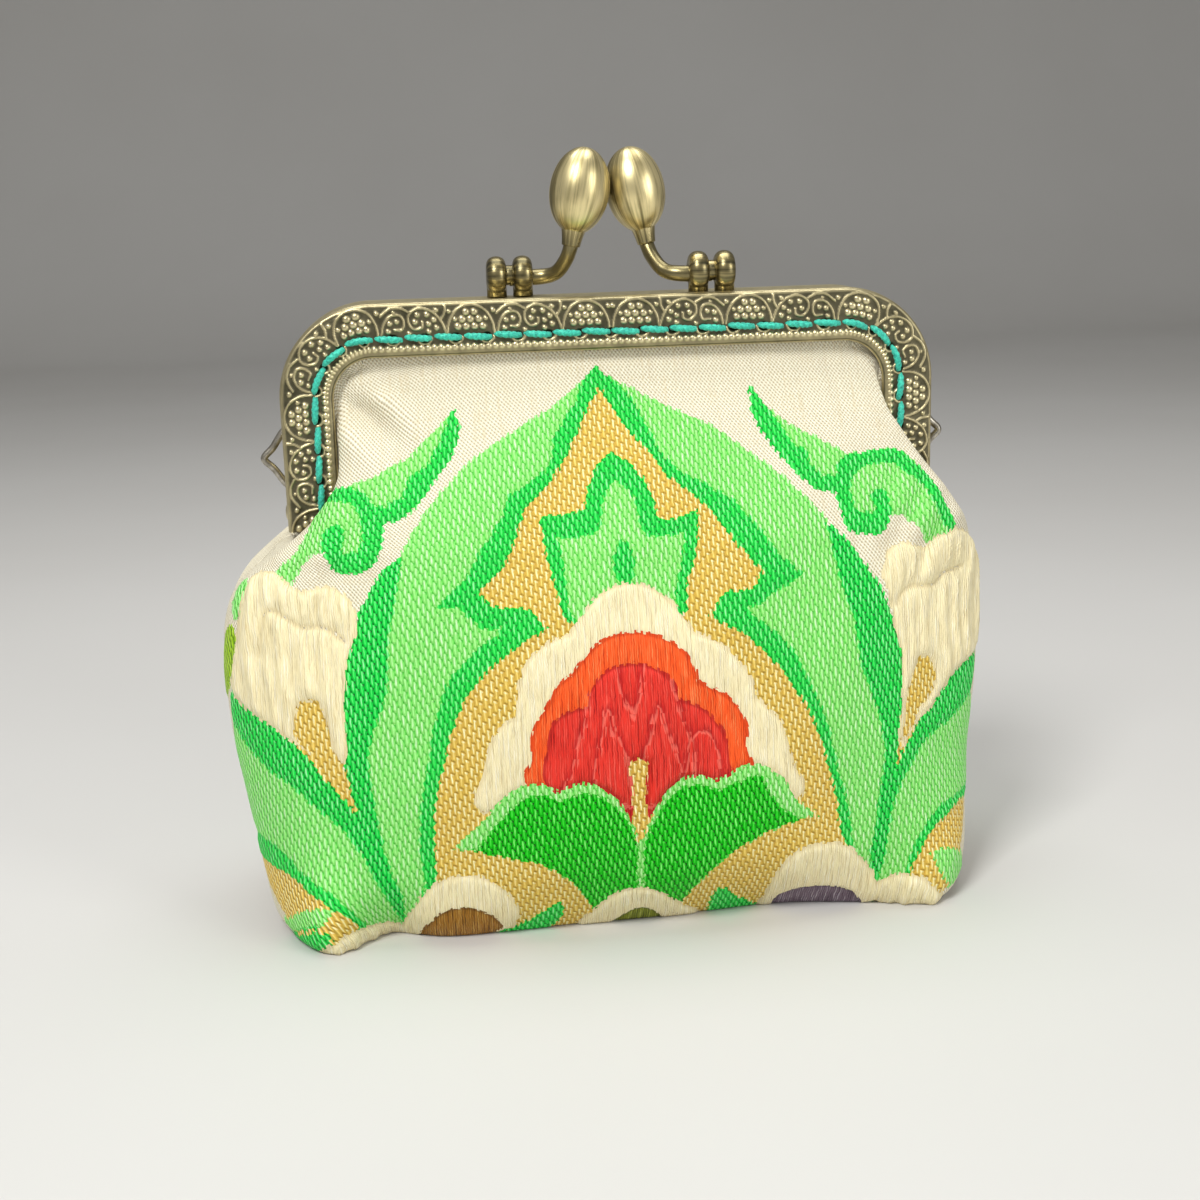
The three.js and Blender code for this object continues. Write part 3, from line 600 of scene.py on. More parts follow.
purseFrame = {
    "width": 85.0,
    "top": 80.7,
    "legEnd": 52.0,
    "corner": 12.0,
    "face": 6.6,
    "depth": 5.0,
    "metal": 0.8,
    "split": 0.15,
    "shoulder": 1.0,
    "wallInside": 0.9,
    "channelMiddle": 3.5,
    "tuck": 0.6,
    "tuckReach": 3.4,
    "lip": [(0.18, -0.14), (0.24, -0.4), (0.18, -0.66)],
    "stations": 900,
    "wallSteps": 9,
    "bendSteps": 15,
    "faceSteps": 44,
}
stamping = {
    "ridge": 0.42,
    "ridgeWidth": 0.2,
    "ridgeHeight": 0.14,
    "ribWidth": 0.17,
    "ribHeight": 0.22,
    "berryHeight": 0.26,
    "inner": 4.15,
    "band": (5.72, 6.55),
    "bandHeight": 0.12,
    "beadAt": 5.8,
    "beadLength": 0.46,
    "beadWidth": 0.39,
    "beadPitch": 0.78,
    "beadHeight": 0.3,
    "groundTone": 0.1,
    "heightTone": 2.6,
    "edgeTone": 0.66,
    "insideTone": 0.25,
    "holeAt": 4.5,
    "holeRadius": 0.5,
    "holeDepth": 0.45,
    "scallop": 0.82,
    "scallopWidth": 0.16,
    "scallopHeight": 0.22,
    "scallopEnd": 5.4,
    "period": 14.7,
    "middle": 2.6,
}
# Ribs of one repeat of the stamping: along the frame and in from its outer edge, in millimetres
stampedRibs = [
    [(0.2, 4.1), (0.5, 2.6), (1.5, 1.1), (3.2, 0.55), (4.9, 1.1), (5.9, 2.6), (6.2, 4.1)],
    [
        (6.3, 4.1), (6.9, 2.5), (8.1, 1.2), (9.7, 0.8), (10.9, 1.5), (11.0, 2.6), (10.3, 3.4), (9.4, 3.2),
        (9.3, 2.5),
    ],
    [(14.5, 4.1), (14.2, 2.8), (13.3, 1.7), (12.1, 1.6), (11.6, 2.5), (11.9, 3.4), (12.8, 3.4)],
    [(11.0, 1.2), (12.1, 0.7), (13.4, 0.8), (14.6, 1.7)],
    [(6.4, 0.6), (6.5, 1.5), (7.0, 2.4)],
]
# Berries of one repeat: along, in from the edge, radius
stampedBerries = [
    (2.7, 1.45, 0.47), (3.75, 1.45, 0.47), (2.15, 2.35, 0.48), (3.2, 2.35, 0.48), (4.25, 2.35, 0.48),
    (1.65, 3.25, 0.47), (2.7, 3.25, 0.48), (3.75, 3.25, 0.48), (4.8, 3.25, 0.47), (1.25, 2.3, 0.3),
    (5.15, 2.3, 0.3), (7.5, 3.3, 0.37), (7.8, 2.3, 0.37), (8.7, 1.6, 0.37), (8.5, 2.8, 0.36),
    (8.5, 3.75, 0.34), (9.9, 1.6, 0.37), (10.2, 2.5, 0.37), (13.4, 2.6, 0.37), (12.5, 2.4, 0.34),
    (13.6, 3.6, 0.36), (11.0, 3.9, 0.3), (7.5, 1.1, 0.32), (0.3, 1.3, 0.34), (12.9, 1.2, 0.22),
    (5.9, 1.3, 0.3),
]
# Holes of the sewing along the frame, and the thread's stitches between them
sewing = {
    "fromEdge": 4.5,
    "count": 31,
    "endMargin": 2.4,
    "fill": 0.86,
    "radius": 0.42,
    "endPlump": 0.72,
    "rise": 0.4,
    "dive": 0.5,
    "slant": 0.14,
    "waver": 0.06,
    "strands": 3,
    "strandDepth": 0.13,
    "twist": 1.6,
}


# Outline of the frame at a distance in from its outer edge: up the left leg, round a quarter circle,
# along the top and down the right leg, by the length walked. Gives place and outward direction in X, Z.
def outlineAt(run, inset):
    p = purseFrame
    arcX, arcZ = p["width"] / 2 - p["corner"], p["top"] - p["corner"]
    radius = p["corner"] - inset
    leg = arcZ - p["legEnd"]
    arc = math.pi / 2 * radius
    half = leg + arc + arcX
    side = np.where(run < half, -1.0, 1.0)
    left = np.where(run < half, run, 2 * half - run)
    turn = np.clip((left - leg) / radius, 0, math.pi / 2)
    onTop = np.maximum(left - leg - arc, 0)
    onLeg = np.minimum(left - leg, 0)
    normal = np.stack([side * np.cos(turn), np.sin(turn)], -1)
    x = side * (arcX - onTop + radius * np.cos(turn))
    z = arcZ + onLeg + radius * np.sin(turn)
    return np.stack([x, z], -1), normal


# Length of that outline: two legs, two quarter circles and the top
def outlineLength(inset):
    p = purseFrame
    straight = p["top"] - p["corner"] - p["legEnd"] + p["width"] / 2 - p["corner"]
    return 2 * (straight + math.pi / 2 * (p["corner"] - inset))


# Distance from every place to the nearest point of a densely drawn curve
def distanceTo(places, curve):
    step = places[:, None, :] - curve[None, :, :]
    return np.sqrt((step**2).sum(-1).min(axis=1))


# Half an ellipse over the distance: the height times the root of one less the squared share of the radius
def domeOf(distance, radius, height):
    return height * np.sqrt(np.clip(1 - (distance / radius) ** 2, 0, 1))


# Height of the stamping over the frame's face: the largest of the ridge, ribs, berries, beads and
# scallops, less the sewing holes. along is measured from the middle of the top, inward from the edge.
def stampedHeight(along, inward):
    s = stamping
    half = outlineLength(s["middle"]) / 2
    repeat = np.mod(along, s["period"])
    places = np.stack([repeat, inward], -1).reshape(-1, 2)
    height = np.zeros(len(places))
    for rib in stampedRibs:
        curve = throughPoints(rib, 14)
        height = np.maximum(height, domeOf(distanceTo(places, curve), s["ribWidth"], s["ribHeight"]))
    berries = np.array(stampedBerries)
    for shift in (-s["period"], 0.0, s["period"]):
        step = places[:, None, :] - (berries[None, :, :2] + [shift, 0.0])
        reach = np.sqrt((step**2).sum(-1)) / berries[None, :, 2]
        dome = s["berryHeight"] * np.clip(1 - reach**3, 0, 1) ** 0.6 * (0.6 + berries[None, :, 2])
        height = np.maximum(height, dome.max(axis=1))
    height = height.reshape(along.shape)
    height = np.where((inward > s["ridge"]) & (inward < s["inner"]), height, 0.0)
    height = np.maximum(height, domeOf(inward - s["ridge"], s["ridgeWidth"], s["ridgeHeight"]))
    # Beads, sewing holes and scallops keep their own pitch along the line on which they lie
    scale = outlineLength(s["beadAt"]) / outlineLength(s["middle"])
    bead = np.mod(along * scale, s["beadPitch"]) - s["beadPitch"] / 2
    fromBead = np.hypot(bead / s["beadWidth"], (inward - s["beadAt"]) / s["beadLength"])
    height = np.maximum(height, domeOf(fromBead, 1.0, s["beadHeight"]))
    onBand = (inward > s["band"][0]) & (inward < s["band"][1])
    height = np.maximum(height, np.where(onBand, s["bandHeight"], 0.0))
    lineLength = outlineLength(s["holeAt"])
    pitch = (lineLength - 2 * sewing["endMargin"]) / (sewing["count"] - 1)
    onLine = along * lineLength / (2 * half)
    hole = np.mod(onLine + pitch / 2, pitch) - pitch / 2
    fromHole = np.hypot(hole, inward - s["holeAt"])
    ring = domeOf(fromHole - s["scallop"], s["scallopWidth"], s["scallopHeight"])
    below = (inward > s["holeAt"]) & (inward < s["scallopEnd"])
    height = np.maximum(height, np.where(below, ring, 0.0))
    return height - domeOf(fromHole, s["holeRadius"], s["holeDepth"])


# One half of the frame: the folded sheet's profile carried along the outline, with the stamping's
# height on the face. facing is -1 for the front half and 1 for the back half.
def frameHalf(facing):
    p = purseFrame
    share = np.linspace(0, 1, p["stations"])
    total = outlineLength(stamping["middle"])
    mid = share * total
    # The outer run for the same place: legs and top keep their length and the corners stretch
    leg = p["top"] - p["corner"] - p["legEnd"]
    arcIn, arcOut = math.pi / 2 * (p["corner"] - stamping["middle"]), math.pi / 2 * p["corner"]
    topLength = p["width"] - 2 * p["corner"]
    knotsIn = np.cumsum([0, leg, arcIn, topLength, arcIn, leg])
    knotsOut = np.cumsum([0, leg, arcOut, topLength, arcOut, leg])
    place, normal = outlineAt(np.interp(mid, knotsIn, knotsOut), 0.0)
    shoulder = p["shoulder"]
    turn = np.linspace(0, math.pi / 2, p["bendSteps"])
    wallSteps = np.linspace(p["split"], p["depth"] - shoulder, p["wallSteps"])[:-1]
    tuck = p["tuck"] * np.clip(1 - wallSteps / p["tuckReach"], 0, 1) ** 2
    wall = np.stack([tuck, wallSteps], -1)
    bend = [shoulder * (1 - np.cos(turn)), p["depth"] - shoulder + shoulder * np.sin(turn)]
    bend = np.stack(bend, -1)
    faceIn = np.linspace(shoulder, p["face"], p["faceSteps"])[1:]
    face = np.stack([faceIn, np.full_like(faceIn, p["depth"])], -1)
    lip = np.array([*p["lip"], (0.0, -p["metal"])]) + [p["face"], p["depth"]]
    side, middle = p["wallInside"], p["channelMiddle"]
    ceiling, floor = p["depth"] - p["metal"], p["split"] + p["metal"]
    inside = np.array([
        (middle, ceiling), (side, ceiling), (side, p["depth"] / 2), (side, floor), (middle, floor),
        (p["face"], floor), (p["face"], p["split"]), (middle, p["split"]),
    ])
    profile = np.concatenate([wall, bend, face, lip, inside])
    stamped = slice(len(wall), len(wall) + len(bend) + len(face))
    lean = np.concatenate([np.cos(turn), np.zeros(len(face))])
    rise = np.concatenate([np.sin(turn), np.ones(len(face))])
    along = np.abs(mid - total / 2)
    inward = np.broadcast_to(profile[None, stamped, 0], (len(mid), len(lean)))
    height = stampedHeight(np.broadcast_to(along[:, None], inward.shape), inward)
    fromEdge = np.broadcast_to(profile[None, :, 0], (len(mid), len(profile))).copy()
    forward = np.broadcast_to(profile[None, :, 1], (len(mid), len(profile))).copy()
    fromEdge[:, stamped] -= height * lean
    forward[:, stamped] += height * rise
    x = place[:, 0][:, None] - normal[:, 0][:, None] * fromEdge
    z = place[:, 1][:, None] - normal[:, 1][:, None] * fromEdge
    points = np.stack([x * -facing, facing * forward, z], -1).reshape(-1, 3)
    quads = gridQuads(len(mid), len(profile), closed=True)
    n = len(profile)
    first = np.arange(n)[None, ::-1]
    last = (len(mid) - 1) * n + np.arange(n)[None]
    relief = np.full(fromEdge.shape, stamping["edgeTone"])
    onFace = stamping["groundTone"] + height * stamping["heightTone"]
    relief[:, stamped] = np.where(inward < stamping["ridge"], stamping["edgeTone"], onFace)
    relief[:, stamped.stop + len(lip):] = stamping["insideTone"]
    return points, [quads, first, last], relief.ravel()


hinge = {
    "height": 53.9,
    "earRadius": 1.6,
    "plate": 0.8,
    "earGap": 0.25,
    "proud": 0.04,
    "chamfer": 0.1,
    "shank": 0.6,
    "headGap": 0.1,
    "head": 1.2,
    "headHeight": 0.4,
    "earTone": 0.5,
    "rivetTone": 0.75,
    "sides": 28,
}


# Hinge ears: round plates on the hinge's axis, the front half's outermost
def earPlates(inset):
    outer = purseFrame["width"] / 2 - inset + hinge["proud"]
    thick, radius, chamfer = hinge["plate"], hinge["earRadius"], hinge["chamfer"]
    profile = np.array([
        (0, 0), (radius - chamfer, 0), (radius, chamfer),
        (radius, thick - chamfer), (radius - chamfer, thick), (0, thick),
    ])
    plates = []
    for side in (-1, 1):
        base = (side * (outer - thick), 0.0, hinge["height"])
        plates.append(latheBody(profile, base, (side, 0, 0), hinge["sides"])[:2])
    return plates


def addFrame(name, facing, earInset):
    points, faces, relief = frameHalf(facing)
    parts = [(points, faces), *earPlates(earInset)]
    allPoints, allFaces = joinParts(parts)
    ears = np.full(len(allPoints) - len(relief), hinge["earTone"])
    values = {"relief": np.concatenate([relief, ears])}
    piece = makePiece(name + "_stamped", allPoints, allFaces, brass, values)
    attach(piece, "root")
    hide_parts(name)


addFrame("frame_front", -1, 0.0)
addFrame("frame_back", 1, hinge["plate"] + hinge["earGap"])
print("frame halves stamped")


# Rivets: a shank with a domed head at each end
def addRivets():
    outer = purseFrame["width"] / 2 + hinge["headGap"]
    inner = purseFrame["width"] / 2 - 2 * hinge["plate"] - hinge["earGap"] - hinge["headGap"]
    reach = outer - inner
    t = np.linspace(0, math.pi / 2, 7)
    dome = np.stack([hinge["head"] * np.sin(t), reach + hinge["headHeight"] * np.cos(t)], -1)
    tail = np.stack([dome[:, 0], -(dome[:, 1] - reach)], -1)
    shank = [(hinge["shank"], 0.0), (hinge["shank"], reach)]
    profile = np.concatenate([tail, shank, dome[::-1]])
    for word, side in (("left", -1), ("right", 1)):
        base = (side * inner, 0.0, hinge["height"])
        points, faces = latheBody(profile, base, (side, 0, 0), hinge["sides"])[:2]
        values = {"relief": np.full(len(points), hinge["rivetTone"])}
        piece = makePiece(f"hinge_rivet_{word}_domed", points, faces, brass, values)
        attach(piece, "root")
        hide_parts(f"hinge_rivet_{word}")


addRivets()


# Kiss clasp

clasp = {
    "x": 0.6,
    "halfSpan": 12.9,
    "spoolHeight": 2.65,
    "disc": 2.5,
    "discWidth": 2.62,
    "discRound": 0.38,
    "spacing": 3.42,
    "neck": 1.3,
    "post": 1.3,
    "postHeight": 2.0,
    "postSunk": 0.02,
    "armRadius": 1.0,
    "armDrop": 0.3,
    "armSeat": 1.5,
    "armBrush": (0.2, 0.3, 0.0),
    "knobBase": (-5.1, -1.3, 6.2),
    "knobLean": (2.2, -0.15, 11.3),
    "knobRadius": 3.84,
    "knobLength": 10.5,
    "collar": 2.0,
    "collarRadius": 1.55,
}
armRoute = [(4.0, -0.1, 0.0), (6.0, -1.2, 0.5), (7.2, -2.7, 2.1)]  # from the spool's middle, lowered
armTaper = [(0.0, 1.12), (0.35, 0.96), (0.75, 0.95), (1.0, 1.1)]  # share of the way, share of the radius
collarProfile = [  # in from the collar's radius, up from its foot
    (0.44, 0.0), (0.36, 0.07), (0.33, 0.3), (0.24, 0.9), (0.12, 1.5), (0.03, 1.9),
]


# The clasp of the back half; the front half's is the same turned half round about the clasp's middle.
# The arm is a tapered rod through its route, a disc is a turned arch with full shoulders, and the knob is
# a turned half circle drawn out along its axis, from where the circle is as wide as the collar.
def claspParts():
    c = clasp
    top = purseFrame["top"]
    spool = np.array([c["x"] - c["halfSpan"], purseFrame["depth"] / 2, top + c["spoolHeight"]])
    base = np.array([c["x"], 0.0, top]) + c["knobBase"]
    axis = unit(np.array(c["knobLean"]))
    start = spool - [0, 0, c["armDrop"]]
    bends = [start + np.array(step) for step in armRoute]
    path = throughPoints([start, *bends, base, base + axis * c["armSeat"]], 12)
    taper = np.interp(np.linspace(0, 1, len(path)), *zip(*armTaper))
    rod, rodFaces = rodAlong(path, c["armRadius"] * taper, (0.3, -0.9, 0.1), 20)
    t = np.linspace(0, math.pi, 25)
    swell = np.abs(np.sin(t)) ** c["discRound"]
    swell[[0, -1]] = 0.0
    disc = np.stack([c["disc"] * swell, -c["discWidth"] / 2 * np.cos(t)], -1)
    half = c["spacing"] / 2
    neck = np.array([[0, -half], [c["neck"], -half], [c["neck"], half], [0, half]])
    post = np.array([[0, 0], [c["post"], 0], [c["post"], c["postHeight"]], [0, c["postHeight"]]])
    bodies = [latheBody(neck, spool, (1, 0, 0), 24)]
    for side in (-1, 1):
        place = spool + [side * half, 0, 0]
        foot = (place[0], place[1], top - c["postSunk"])
        bodies.append(latheBody(disc, place, (1, 0, 0), 36))
        bodies.append(latheBody(post, foot, (0, 0, 1), 20))
    brushes = [np.zeros((len(rod), 3)) + c["armBrush"]] + [b[2] for b in bodies]
    armPoints, armFaces = joinParts([(rod, rodFaces), *((b[0], b[1]) for b in bodies)])
    arm = (armPoints, armFaces, np.concatenate(brushes))
    neckTurn = math.asin(c["collarRadius"] / c["knobRadius"])
    turn = np.linspace(neckTurn, math.pi, 34)
    rise = (math.cos(neckTurn) - np.cos(turn)) / (math.cos(neckTurn) + 1)
    egg = np.stack([c["knobRadius"] * np.sin(turn), c["collar"] + c["knobLength"] * rise], -1)
    egg[-1, 0] = 0.0
    collar = np.array([(0.0, 0.0), *((c["collarRadius"] - inset, up) for inset, up in collarProfile)])
    knob = latheBody(np.concatenate([collar, egg]), base, axis, 56)
    return arm, knob


def addClasp():
    arm, knob = claspParts()
    for word, facing in (("back", 1), ("front", -1)):
        middle = np.array([clasp["x"], 0.0, 0.0])
        turn = np.array([facing, facing, 1.0])
        for part, (points, faces, brush) in (("arm", arm), ("knob", knob)):
            placed = (points - middle) * turn + middle
            name = f"clasp_{part}_{word}_polished"
            piece = makePiece(name, placed, faces, claspMetal, {"brush": brush})
            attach(piece, "root")
            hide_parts(f"clasp_{part}_{word}")


addClasp()
print("clasp turned")

strapLoop = {
    "wire": 0.48,
    "height": 60.8,
    "halfSpan": 3.7,
    "reach": 3.4,
    "tail": 0.7,
    "bendIn": 1.2,
    "bendSpan": 1.4,
    "y": 1.9,
}


# Strap loops: a round wire along a bow in the plane of the frame, its tails inside the leg
def addLoops():
    w = strapLoop
    legX = purseFrame["width"] / 2
    tip = legX + w["reach"] - w["wire"]
    inner = legX - purseFrame["metal"] - w["tail"]
    route = np.array([
        (inner, w["halfSpan"]), (legX, w["halfSpan"]), (tip - w["bendIn"], w["bendSpan"]), (tip, 0.0),
        (tip - w["bendIn"], -w["bendSpan"]), (legX, -w["halfSpan"]), (inner, -w["halfSpan"]),
    ])
    flat = throughPoints(route, 10)
    level = np.full(len(flat), w["y"])
    for word, side in (("left", -1), ("right", 1)):
        path = np.stack([side * flat[:, 0], level, w["height"] + flat[:, 1]], -1)
        points, faces = rodAlong(path, w["wire"], (0.0, 1.0, 0.0), 16)
        piece = makePiece(f"strap_loop_{word}_wire", points, faces, nickel)
        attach(piece, "root")
        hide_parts(f"strap_loop_{word}")


addLoops()
print("strap loops bent")


# Running stitch: each stitch is a twisted rod that leaves one sewing hole and bows over to the next
def addThread(name, facing):
    s = sewing
    length = outlineLength(s["fromEdge"])
    pitch = (length - 2 * s["endMargin"]) / (s["count"] - 1)
    share = np.linspace(0, 1, 26)
    bow = np.sin(math.pi * share) ** 0.4
    reach = 0.5 + s["fill"] * (share - 0.5)
    plump = s["radius"] * (s["endPlump"] + (1 - s["endPlump"]) * np.sin(math.pi * share) ** 0.6)
    parts = []
    for k in range(s["count"] - 1):
        run = s["endMargin"] + pitch * (k + reach)
        place, normal = outlineAt(run, s["fromEdge"])
        sway = s["slant"] * (1 - 2 * share) + s["waver"] * math.sin(2.4 * k)
        line = place + normal * sway[:, None]
        y = facing * (purseFrame["depth"] - s["dive"] + (s["rise"] + s["dive"]) * bow)
        path = np.stack([-facing * line[:, 0], y, line[:, 1]], -1)
        twist = (s["strands"], s["strandDepth"], s["twist"])
        parts.append(rodAlong(path, plump, (0.0, facing, 0.0), 15, *twist))
    points, faces = joinParts(parts)
    piece = makePiece(name, points, faces, thread)
    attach(piece, "root")


addThread("sewing_thread_front", -1)
addThread("sewing_thread_back", 1)
print("stitches sewn")


# Cloth panels

cloth = {
    "wall": 1.0,
    "slotY": 2.9,
    "slotInset": 2.7,
    "rimX": 34.9,
    "rimY": 3.7,
    "faceY": 6.3,
    "foldReach": 1.4,
    "dentReach": 12.0,
    "seamGap": 0.03,
    "seamDip": 0.5,
    "seamReach": 0.8,
    "clearance": 0.02,
    "fullest": (52.0, 21.0, 2.4),  # half width, depth and power of the fullest section
    "fullestZ": 34.0,
    "bodySections": 22,  # rows of the sections down to the edge of the base
    "bulgeColumns": 140,
    "stripColumns": 16,
    "bodyRows": 260,
    "baseRows": 12,
    "innerStep": 4,
}
# Level sections of the front panel. left and right are the reach of the bulge, the lips are how far
# forward it ends there, depth is how far forward its middle stands, the seams are the sewn edges'
# distances from the middle, 0 where the edge runs in the frame, and power squares the bulge up.
sections = np.array([
    # z, left, right, leftLip, rightLip, depth, leftSeam, rightSeam, power
    [77.9, 27.0, 27.0, 2.9, 2.9, 2.9, 0, 0, 2.0],
    [74.6, 31.4, 31.4, 2.9, 2.9, 2.9, 0, 0, 2.0],
    [72.9, 31.8, 31.8, 2.9, 2.9, 3.1, 0, 0, 2.0],
    [70.8, 34.1, 34.2, 2.95, 3.3, 4.0, 0, 0, 2.2],
    [67.8, 34.7, 34.8, 3.2, 4.7, 5.7, 0, 0, 2.3],
    [65.0, 34.8, 35.5, 3.8, 6.3, 7.6, 0, 0, 2.4],
    [62.0, 34.9, 37.2, 4.9, 7.5, 9.6, 0, 0, 2.4],
    [59.5, 35.1, 38.8, 6.1, 8.0, 11.2, 0, 0, 2.4],
    [57.0, 36.1, 40.7, 7.2, 8.3, 12.7, 0, 0, 2.4],
    [54.5, 37.9, 42.7, 7.9, 8.4, 14.1, 0, 0, 2.4],
    [51.5, 41.2, 44.8, 8.2, 8.2, 15.7, 0, 0, 2.3],
    [50.0, 43.4, 45.8, 7.6, 7.2, 16.5, 43.6, 43.6, 2.3],
    [48.2, 45.9, 46.6, 6.0, 5.8, 17.2, 45.2, 44.8, 2.3],
    [46.0, 48.4, 47.3, 4.6, 4.6, 18.1, 47.3, 46.2, 2.3],
    [43.0, 50.3, 48.1, 3.2, 3.2, 19.1, 49.7, 47.7, 2.3],
    [39.0, 51.3, 48.6, 2.2, 2.2, 20.2, 51.2, 48.5, 2.3],
    [34.0, 51.6, 48.8, 1.6, 1.6, 21.1, 51.6, 48.8, 2.4],
    [27.0, 51.3, 48.5, 1.4, 1.4, 21.8, 51.3, 48.5, 2.5],
    [19.0, 50.0, 47.3, 1.4, 1.4, 22.0, 50.0, 47.3, 2.7],
    [11.0, 48.7, 46.8, 1.4, 1.4, 21.4, 48.7, 46.8, 3.1],
    [5.0, 47.7, 46.2, 1.4, 1.4, 20.0, 47.7, 46.2, 3.8],
    [1.9, 46.6, 45.4, 1.4, 1.4, 18.6, 46.6, 45.4, 4.4],
    [0.5, 44.6, 43.6, 1.3, 1.3, 17.2, 44.6, 43.6, 4.6],
    [0.5, 41.8, 40.9, 1.2, 1.2, 15.6, 41.8, 40.9, 4.4],
    [0.5, 15.0, 15.0, 0.16, 0.16, 0.16, 15.5, 15.5, 2.0],
])
# Soft dents of each panel, seen from its own outside: x, z, reachX, reachZ, depth. A depth below zero
# is a swelling, as at the boxed corners of the base.
dents = {
    "front": [
        (-29, 65, 5, 6, 1.1), (-1, 0, 22, 7, 2.2), (-32, 0, 4.5, 6, 3.0), (20, 0, 12, 7, 3.2),
        (-40, 0, 4.5, 9, -4.4), (40, 0, 4.5, 9, -2.6), (-29, 12, 8, 8, 0.7), (30, 14, 8, 9, 0.7),
        (41, 24, 6, 10, 0.7),
    ],
    "back": [
        (28, 63, 5, 6, 0.9), (3, 0, 22, 7, 2.0), (-40, 0, 4.5, 9, -3.0), (40, 0, 4.5, 9, -3.4),
        (-27, 13, 8, 9, 0.9), (-41, 24, 6, 10, 0.7),
    ],
}


# Shares of the reach at equal steps of arc length along the bulge of the fullest section
def bulgeShares():
    halfWidth, depth, power = cloth["fullest"]
    fine = np.linspace(0, math.pi / 2, 2000)
    x = halfWidth * np.sin(fine) ** (2 / power)
    y = depth * np.cos(fine) ** (2 / power)
    walked = np.concatenate([[0], np.cumsum(np.hypot(np.diff(x), np.diff(y)))])
    return np.interp(np.linspace(0, walked[-1], cloth["bulgeColumns"] + 1), walked, x / halfWidth)


# Half of every section, from the middle of the panel to its sewn edge, as [across, forward]. The bulge
# is a superellipse. From its lip the cloth runs straight to the side seam, or folds back round the
# channel's inner rim into the frame.
def halfSections(side):
    columns = (0, 1 + side, 3 + side, 5, 6 + side, 8)
    z, width, lip, depth, seam, power = (sections[:, k][:, None] for k in columns)
    share = bulgeShares()[None]
    forward = lip + (depth - lip) * np.clip(1 - share**power, 0, 1) ** (1 / power)
    bulge = np.stack([width * share, forward], -1)
    slotY = cloth["slotY"]
    arcX = purseFrame["width"] / 2 - purseFrame["corner"]
    arcZ = purseFrame["top"] - purseFrame["corner"]
    radius = purseFrame["corner"] - cloth["slotInset"]
    rise = np.clip((z - arcZ) / radius, 0, 0.999)
    inFrame = seam == 0
    edgeX = np.where(inFrame, arcX + radius * np.sqrt(1 - rise**2), seam)
    edgeY = np.where(inFrame, slotY, cloth["seamGap"])
    t = np.array([0.2, 0.4, 0.6, 0.8, 1.0])[None]
    straight = np.stack([width + (edgeX - width) * t, lip + (edgeY - lip) * t], -1)
    rim = np.minimum(width, cloth["rimX"])
    foldX = [rim + 0.55 * (width - rim), rim, rim + 0.4, 0.45 * rim + 0.55 * edgeX, edgeX]
    foldY = [
        np.minimum(lip - 0.3, cloth["faceY"]),
        np.minimum(lip - 0.6, cloth["faceY"] - 0.3),
        np.maximum(slotY, np.minimum(lip - 1, cloth["rimY"])),
        np.full_like(lip, slotY),
        np.full_like(lip, slotY),
    ]
    folded = np.stack([np.concatenate(foldX, 1), np.concatenate(foldY, 1)], -1)
    fold = np.where(inFrame, np.clip((lip - slotY) / cloth["foldReach"], 0, 1), 0.0)[..., None]
    strip = straight + (folded - straight) * fold
    control = np.concatenate([np.stack([width, lip], -1), strip], 1).transpose(1, 0, 2)
    stations = np.linspace(0, 1, cloth["stripColumns"] + 1)[1:]
    return np.concatenate([bulge, smoothRows(control, stations).transpose(1, 0, 2)], 1)


folds = {
    "gather": 0.16,
    "gatherPitch": 3.77,
    "gatherZ": 72.5,
    "gatherReach": 3.6,
    "slow": [(0.22, 0.17, 0.11, 0.0), (0.16, 0.31, -0.23, 1.3)],  # height, turn by x and by z, start
    "slowTop": 70.0,
    "slowFade": (12.0, 8.0),  # below the top, above the base
    "fan": 0.28,
    "fanX": 38.0,
    "fanZ": 50.0,
    "fanReach": (6.0, 8.0),
    "fanTurn": 1.15,
    "fanTilts": [(-1, 0.55), (1, -0.7)],  # side, slope of the pleats
}
pocket = {
    "x": -32.0,
    "z": 67.0,
    "length": 6.0,
    "waves": [(3.4, 2.2, 1.6), (-3.4, 2.0, 1.0), (0.0, 1.9, -1.2)],  # place, reach, height
}
looseness = {"from": 0.2, "reach": 5.0, "pocketReach": 1.2, "base": 1.5, "baseReach": 5.0}


# A bell curve, one in its middle
def bell(distance, reach):
    return np.exp(-((distance / reach) ** 2))


# Small folds beside the modelled dents: gathers under the frame's rim, pleats that fan out below the
# hinges and a slow unevenness all over. Each is a wave times what fades it out away from its place.
def smallFolds(x, z):
    f = folds
    gather = f["gather"] * np.cos(2 * math.pi * x / f["gatherPitch"] + 0.6 * np.sin(x * 0.21))
    gather = gather * bell(z - f["gatherZ"], f["gatherReach"])
    slow = sum(high * np.sin(byX * x + byZ * z + start) for high, byX, byZ, start in f["slow"])
    away = np.clip((f["slowTop"] - z) / f["slowFade"][0], 0, 1) * np.clip(z / f["slowFade"][1], 0, 1)
    fan = 0
    for side, tilt in f["fanTilts"]:
        dx, dz = x - side * f["fanX"], f["fanZ"] - z
        pleats = np.cos((dx - tilt * dz * side) * f["fanTurn"])
        fan = fan + f["fan"] * pleats * bell(dx, f["fanReach"][0]) * bell(dz, f["fanReach"][1])
    return gather + slow * away + fan


# A pinched pocket beside the upper left corner of the frame: a slanting valley between two ridges, each
# a bell curve across the slant
def cornerPocket(x, z):
    dx, dz = x - pocket["x"], z - pocket["z"]
    along, across = (dx - dz) * math.sqrt(0.5), (dx + dz) * math.sqrt(0.5)
    waves = sum(high * bell(across - place, reach) for place, reach, high in pocket["waves"])
    return bell(along, pocket["length"]) * waves


